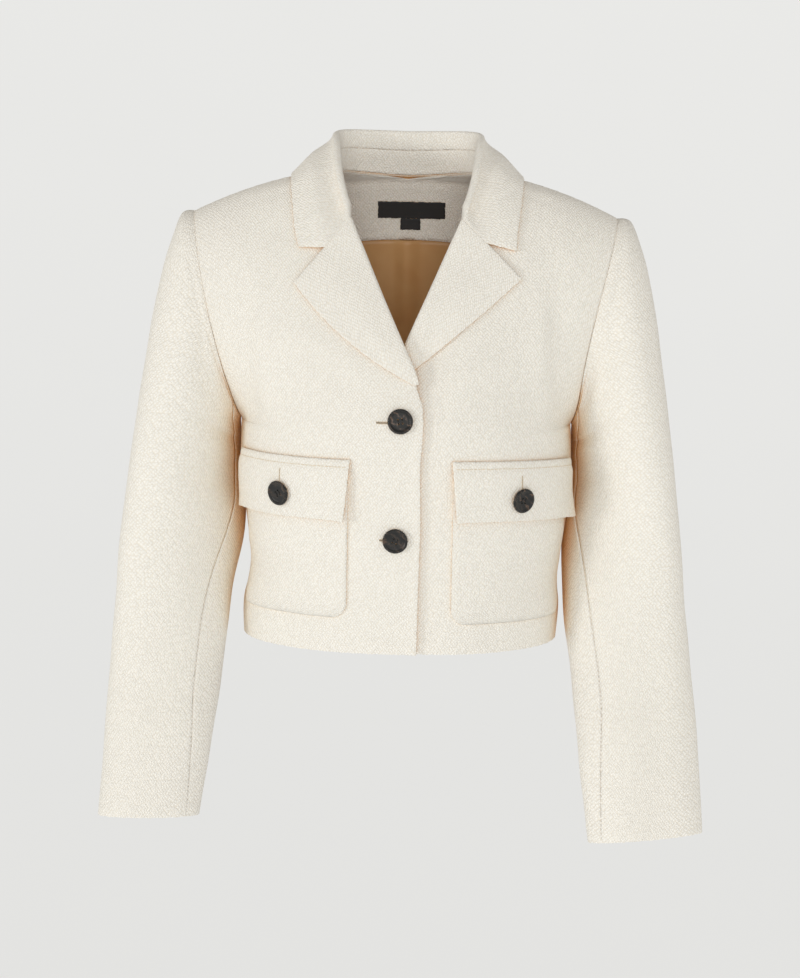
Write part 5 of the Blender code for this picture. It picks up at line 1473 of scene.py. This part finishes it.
def make_buttonholes(thread, slit, soft_slit):
    for name, (x, z) in FRONT_BUTTONS.items():
        start, end = BUTTONHOLES[name]
        run = np.linspace(x + start, x + end, BUTTONHOLE_STITCHES)
        line = over_front(run, np.full(len(run), z), BUTTONHOLE_LIFT, "right")
        make_buttonhole(f"buttonhole_{name}", line, thread, slit, "right",
                        BUTTONHOLE_WIDTH["front"])
    for hand in ("right", "left"):
        start, end = BUTTONHOLES["pocket"]
        arc, middle = POCKET_BUTTONS[hand]
        line = []
        for z in middle + np.linspace(start, end, BUTTONHOLE_STITCHES):
            level = float(level_of_height(z))
            lift = float(curve(FLAP_LIFT, flap_share(z))) + BUTTONHOLE_LIFT
            line.append(on_body(level, arc_to_t(level, arc), "front", lift, hand))
        make_buttonhole(f"buttonhole_pocket_{hand}", np.array(line), thread, soft_slit, hand,
                        BUTTONHOLE_WIDTH["pocket"])


# ================================================================ camera and studio
def place_camera():
    """Camera at the height of the chest, a little above it and rolled by about a degree."""
    azimuth, elevation, roll = (math.radians(a) for a in
                                (CAMERA_AZIMUTH, CAMERA_ELEVATION, CAMERA_ROLL))
    back = Vector((math.sin(azimuth) * math.cos(elevation),
                   -math.cos(azimuth) * math.cos(elevation), math.sin(elevation)))
    level_right = Vector((math.cos(azimuth), math.sin(azimuth), 0))
    level_up = back.cross(level_right)
    right = math.cos(roll) * level_right + math.sin(roll) * level_up
    up = -math.sin(roll) * level_right + math.cos(roll) * level_up
    pixels = CAMERA_LENS / SENSOR * max(IMAGE_WIDTH, IMAGE_HEIGHT)
    x = (SHOULDERS_PIXEL[0] - IMAGE_WIDTH / 2) * CAMERA_DISTANCE / pixels
    y = -(SHOULDERS_PIXEL[1] - IMAGE_HEIGHT / 2) * CAMERA_DISTANCE / pixels
    spot = Vector(SHOULDERS_POINT) + back * CAMERA_DISTANCE - right * x - up * y
    data = bpy.data.cameras.new("camera")
    data.lens, data.sensor_width, data.sensor_fit = CAMERA_LENS, SENSOR, "AUTO"
    camera = put_in_scene("camera", data)
    facing = Matrix((right, up, back)).transposed().to_4x4()
    camera.matrix_world = Matrix.Translation(spot) @ facing
    bpy.context.scene.camera = camera


def build_studio():
    """Even light from all round and two large soft lights, over a seamless ring of paper."""
    world = bpy.data.worlds.new("studio_air")
    world.use_nodes = True
    feed(world.node_tree, world.node_tree.nodes["Background"],
         {"Color": linear("#FFFBF6"), "Strength": 0.48})
    bpy.context.scene.world = world
    for name, strength, place, spread in (("key_softbox", 0.6, (-3.4, -2.0, -0.1), 12),
                                          ("front_softbox", 0.9, (0.1, -2.8, -0.1), 30)):
        data = bpy.data.lights.new(name, "SUN")
        data.energy, data.color, data.angle = strength, linear("#FFFEFB")[:3], math.radians(spread)
        light = put_in_scene(name, data)
        light.location = place
        aim = Vector(LIGHTS_AIM) - light.location
        light.rotation_euler = aim.to_track_quat("-Z", "Y").to_euler()

    flat = PAPER_FLAT[-1]
    profile = [(radius, FLOOR_Z) for radius in (0.0, *PAPER_FLAT)]
    profile += [(flat + PAPER_BEND * math.sin(a), FLOOR_Z + PAPER_BEND * (1 - math.cos(a)))
                for a in np.radians(PAPER_TURNS)]
    profile.append((flat + PAPER_BEND, FLOOR_Z + PAPER_HEIGHT))
    mesh = mesh_of("studio_floor", turned(profile, PAPER_SIDES))
    mesh.shade_smooth()
    mesh.materials.append(studio_paper())
    floor = put_in_scene("studio_floor", mesh)
    floor.visible_shadow = False            # the soft lights shine in from outside the paper
    bpy.context.scene.view_settings.view_transform = "Standard"


def main():
    tweed, satin, label, horn = boucle_tweed(), satin_lining(), woven_label(), horn_resin()
    cream = spun_thread("cream_thread", "#EFE6D4", "#CDBEA2")
    black = spun_thread("black_thread", "#2A2725", "#0E0D0D")
    for hand in ("right", "left"):
        make_front(hand, tweed, satin)
        make_sleeve(hand, tweed, satin)
        make_lapel(hand, tweed)
        make_pocket(hand, tweed)
        make_flap(hand, tweed, cream)
    make_back(tweed, satin)
    make_neck_facing(tweed)
    make_back_lining(satin)
    make_tapes(label)
    make_collar(tweed)
    make_buttons(horn, black)
    # painted shade: the buttonhole slits get dark brown on the front and a softer brown on the
    # pockets
    make_buttonholes(cream, spun_thread("front_slit_painted_shade", "#6E5844", "#3A2C20"),
                     spun_thread("pocket_slit_painted_shade", "#C2AA8A", "#9A8468"))
    place_camera()
    build_studio()


main()
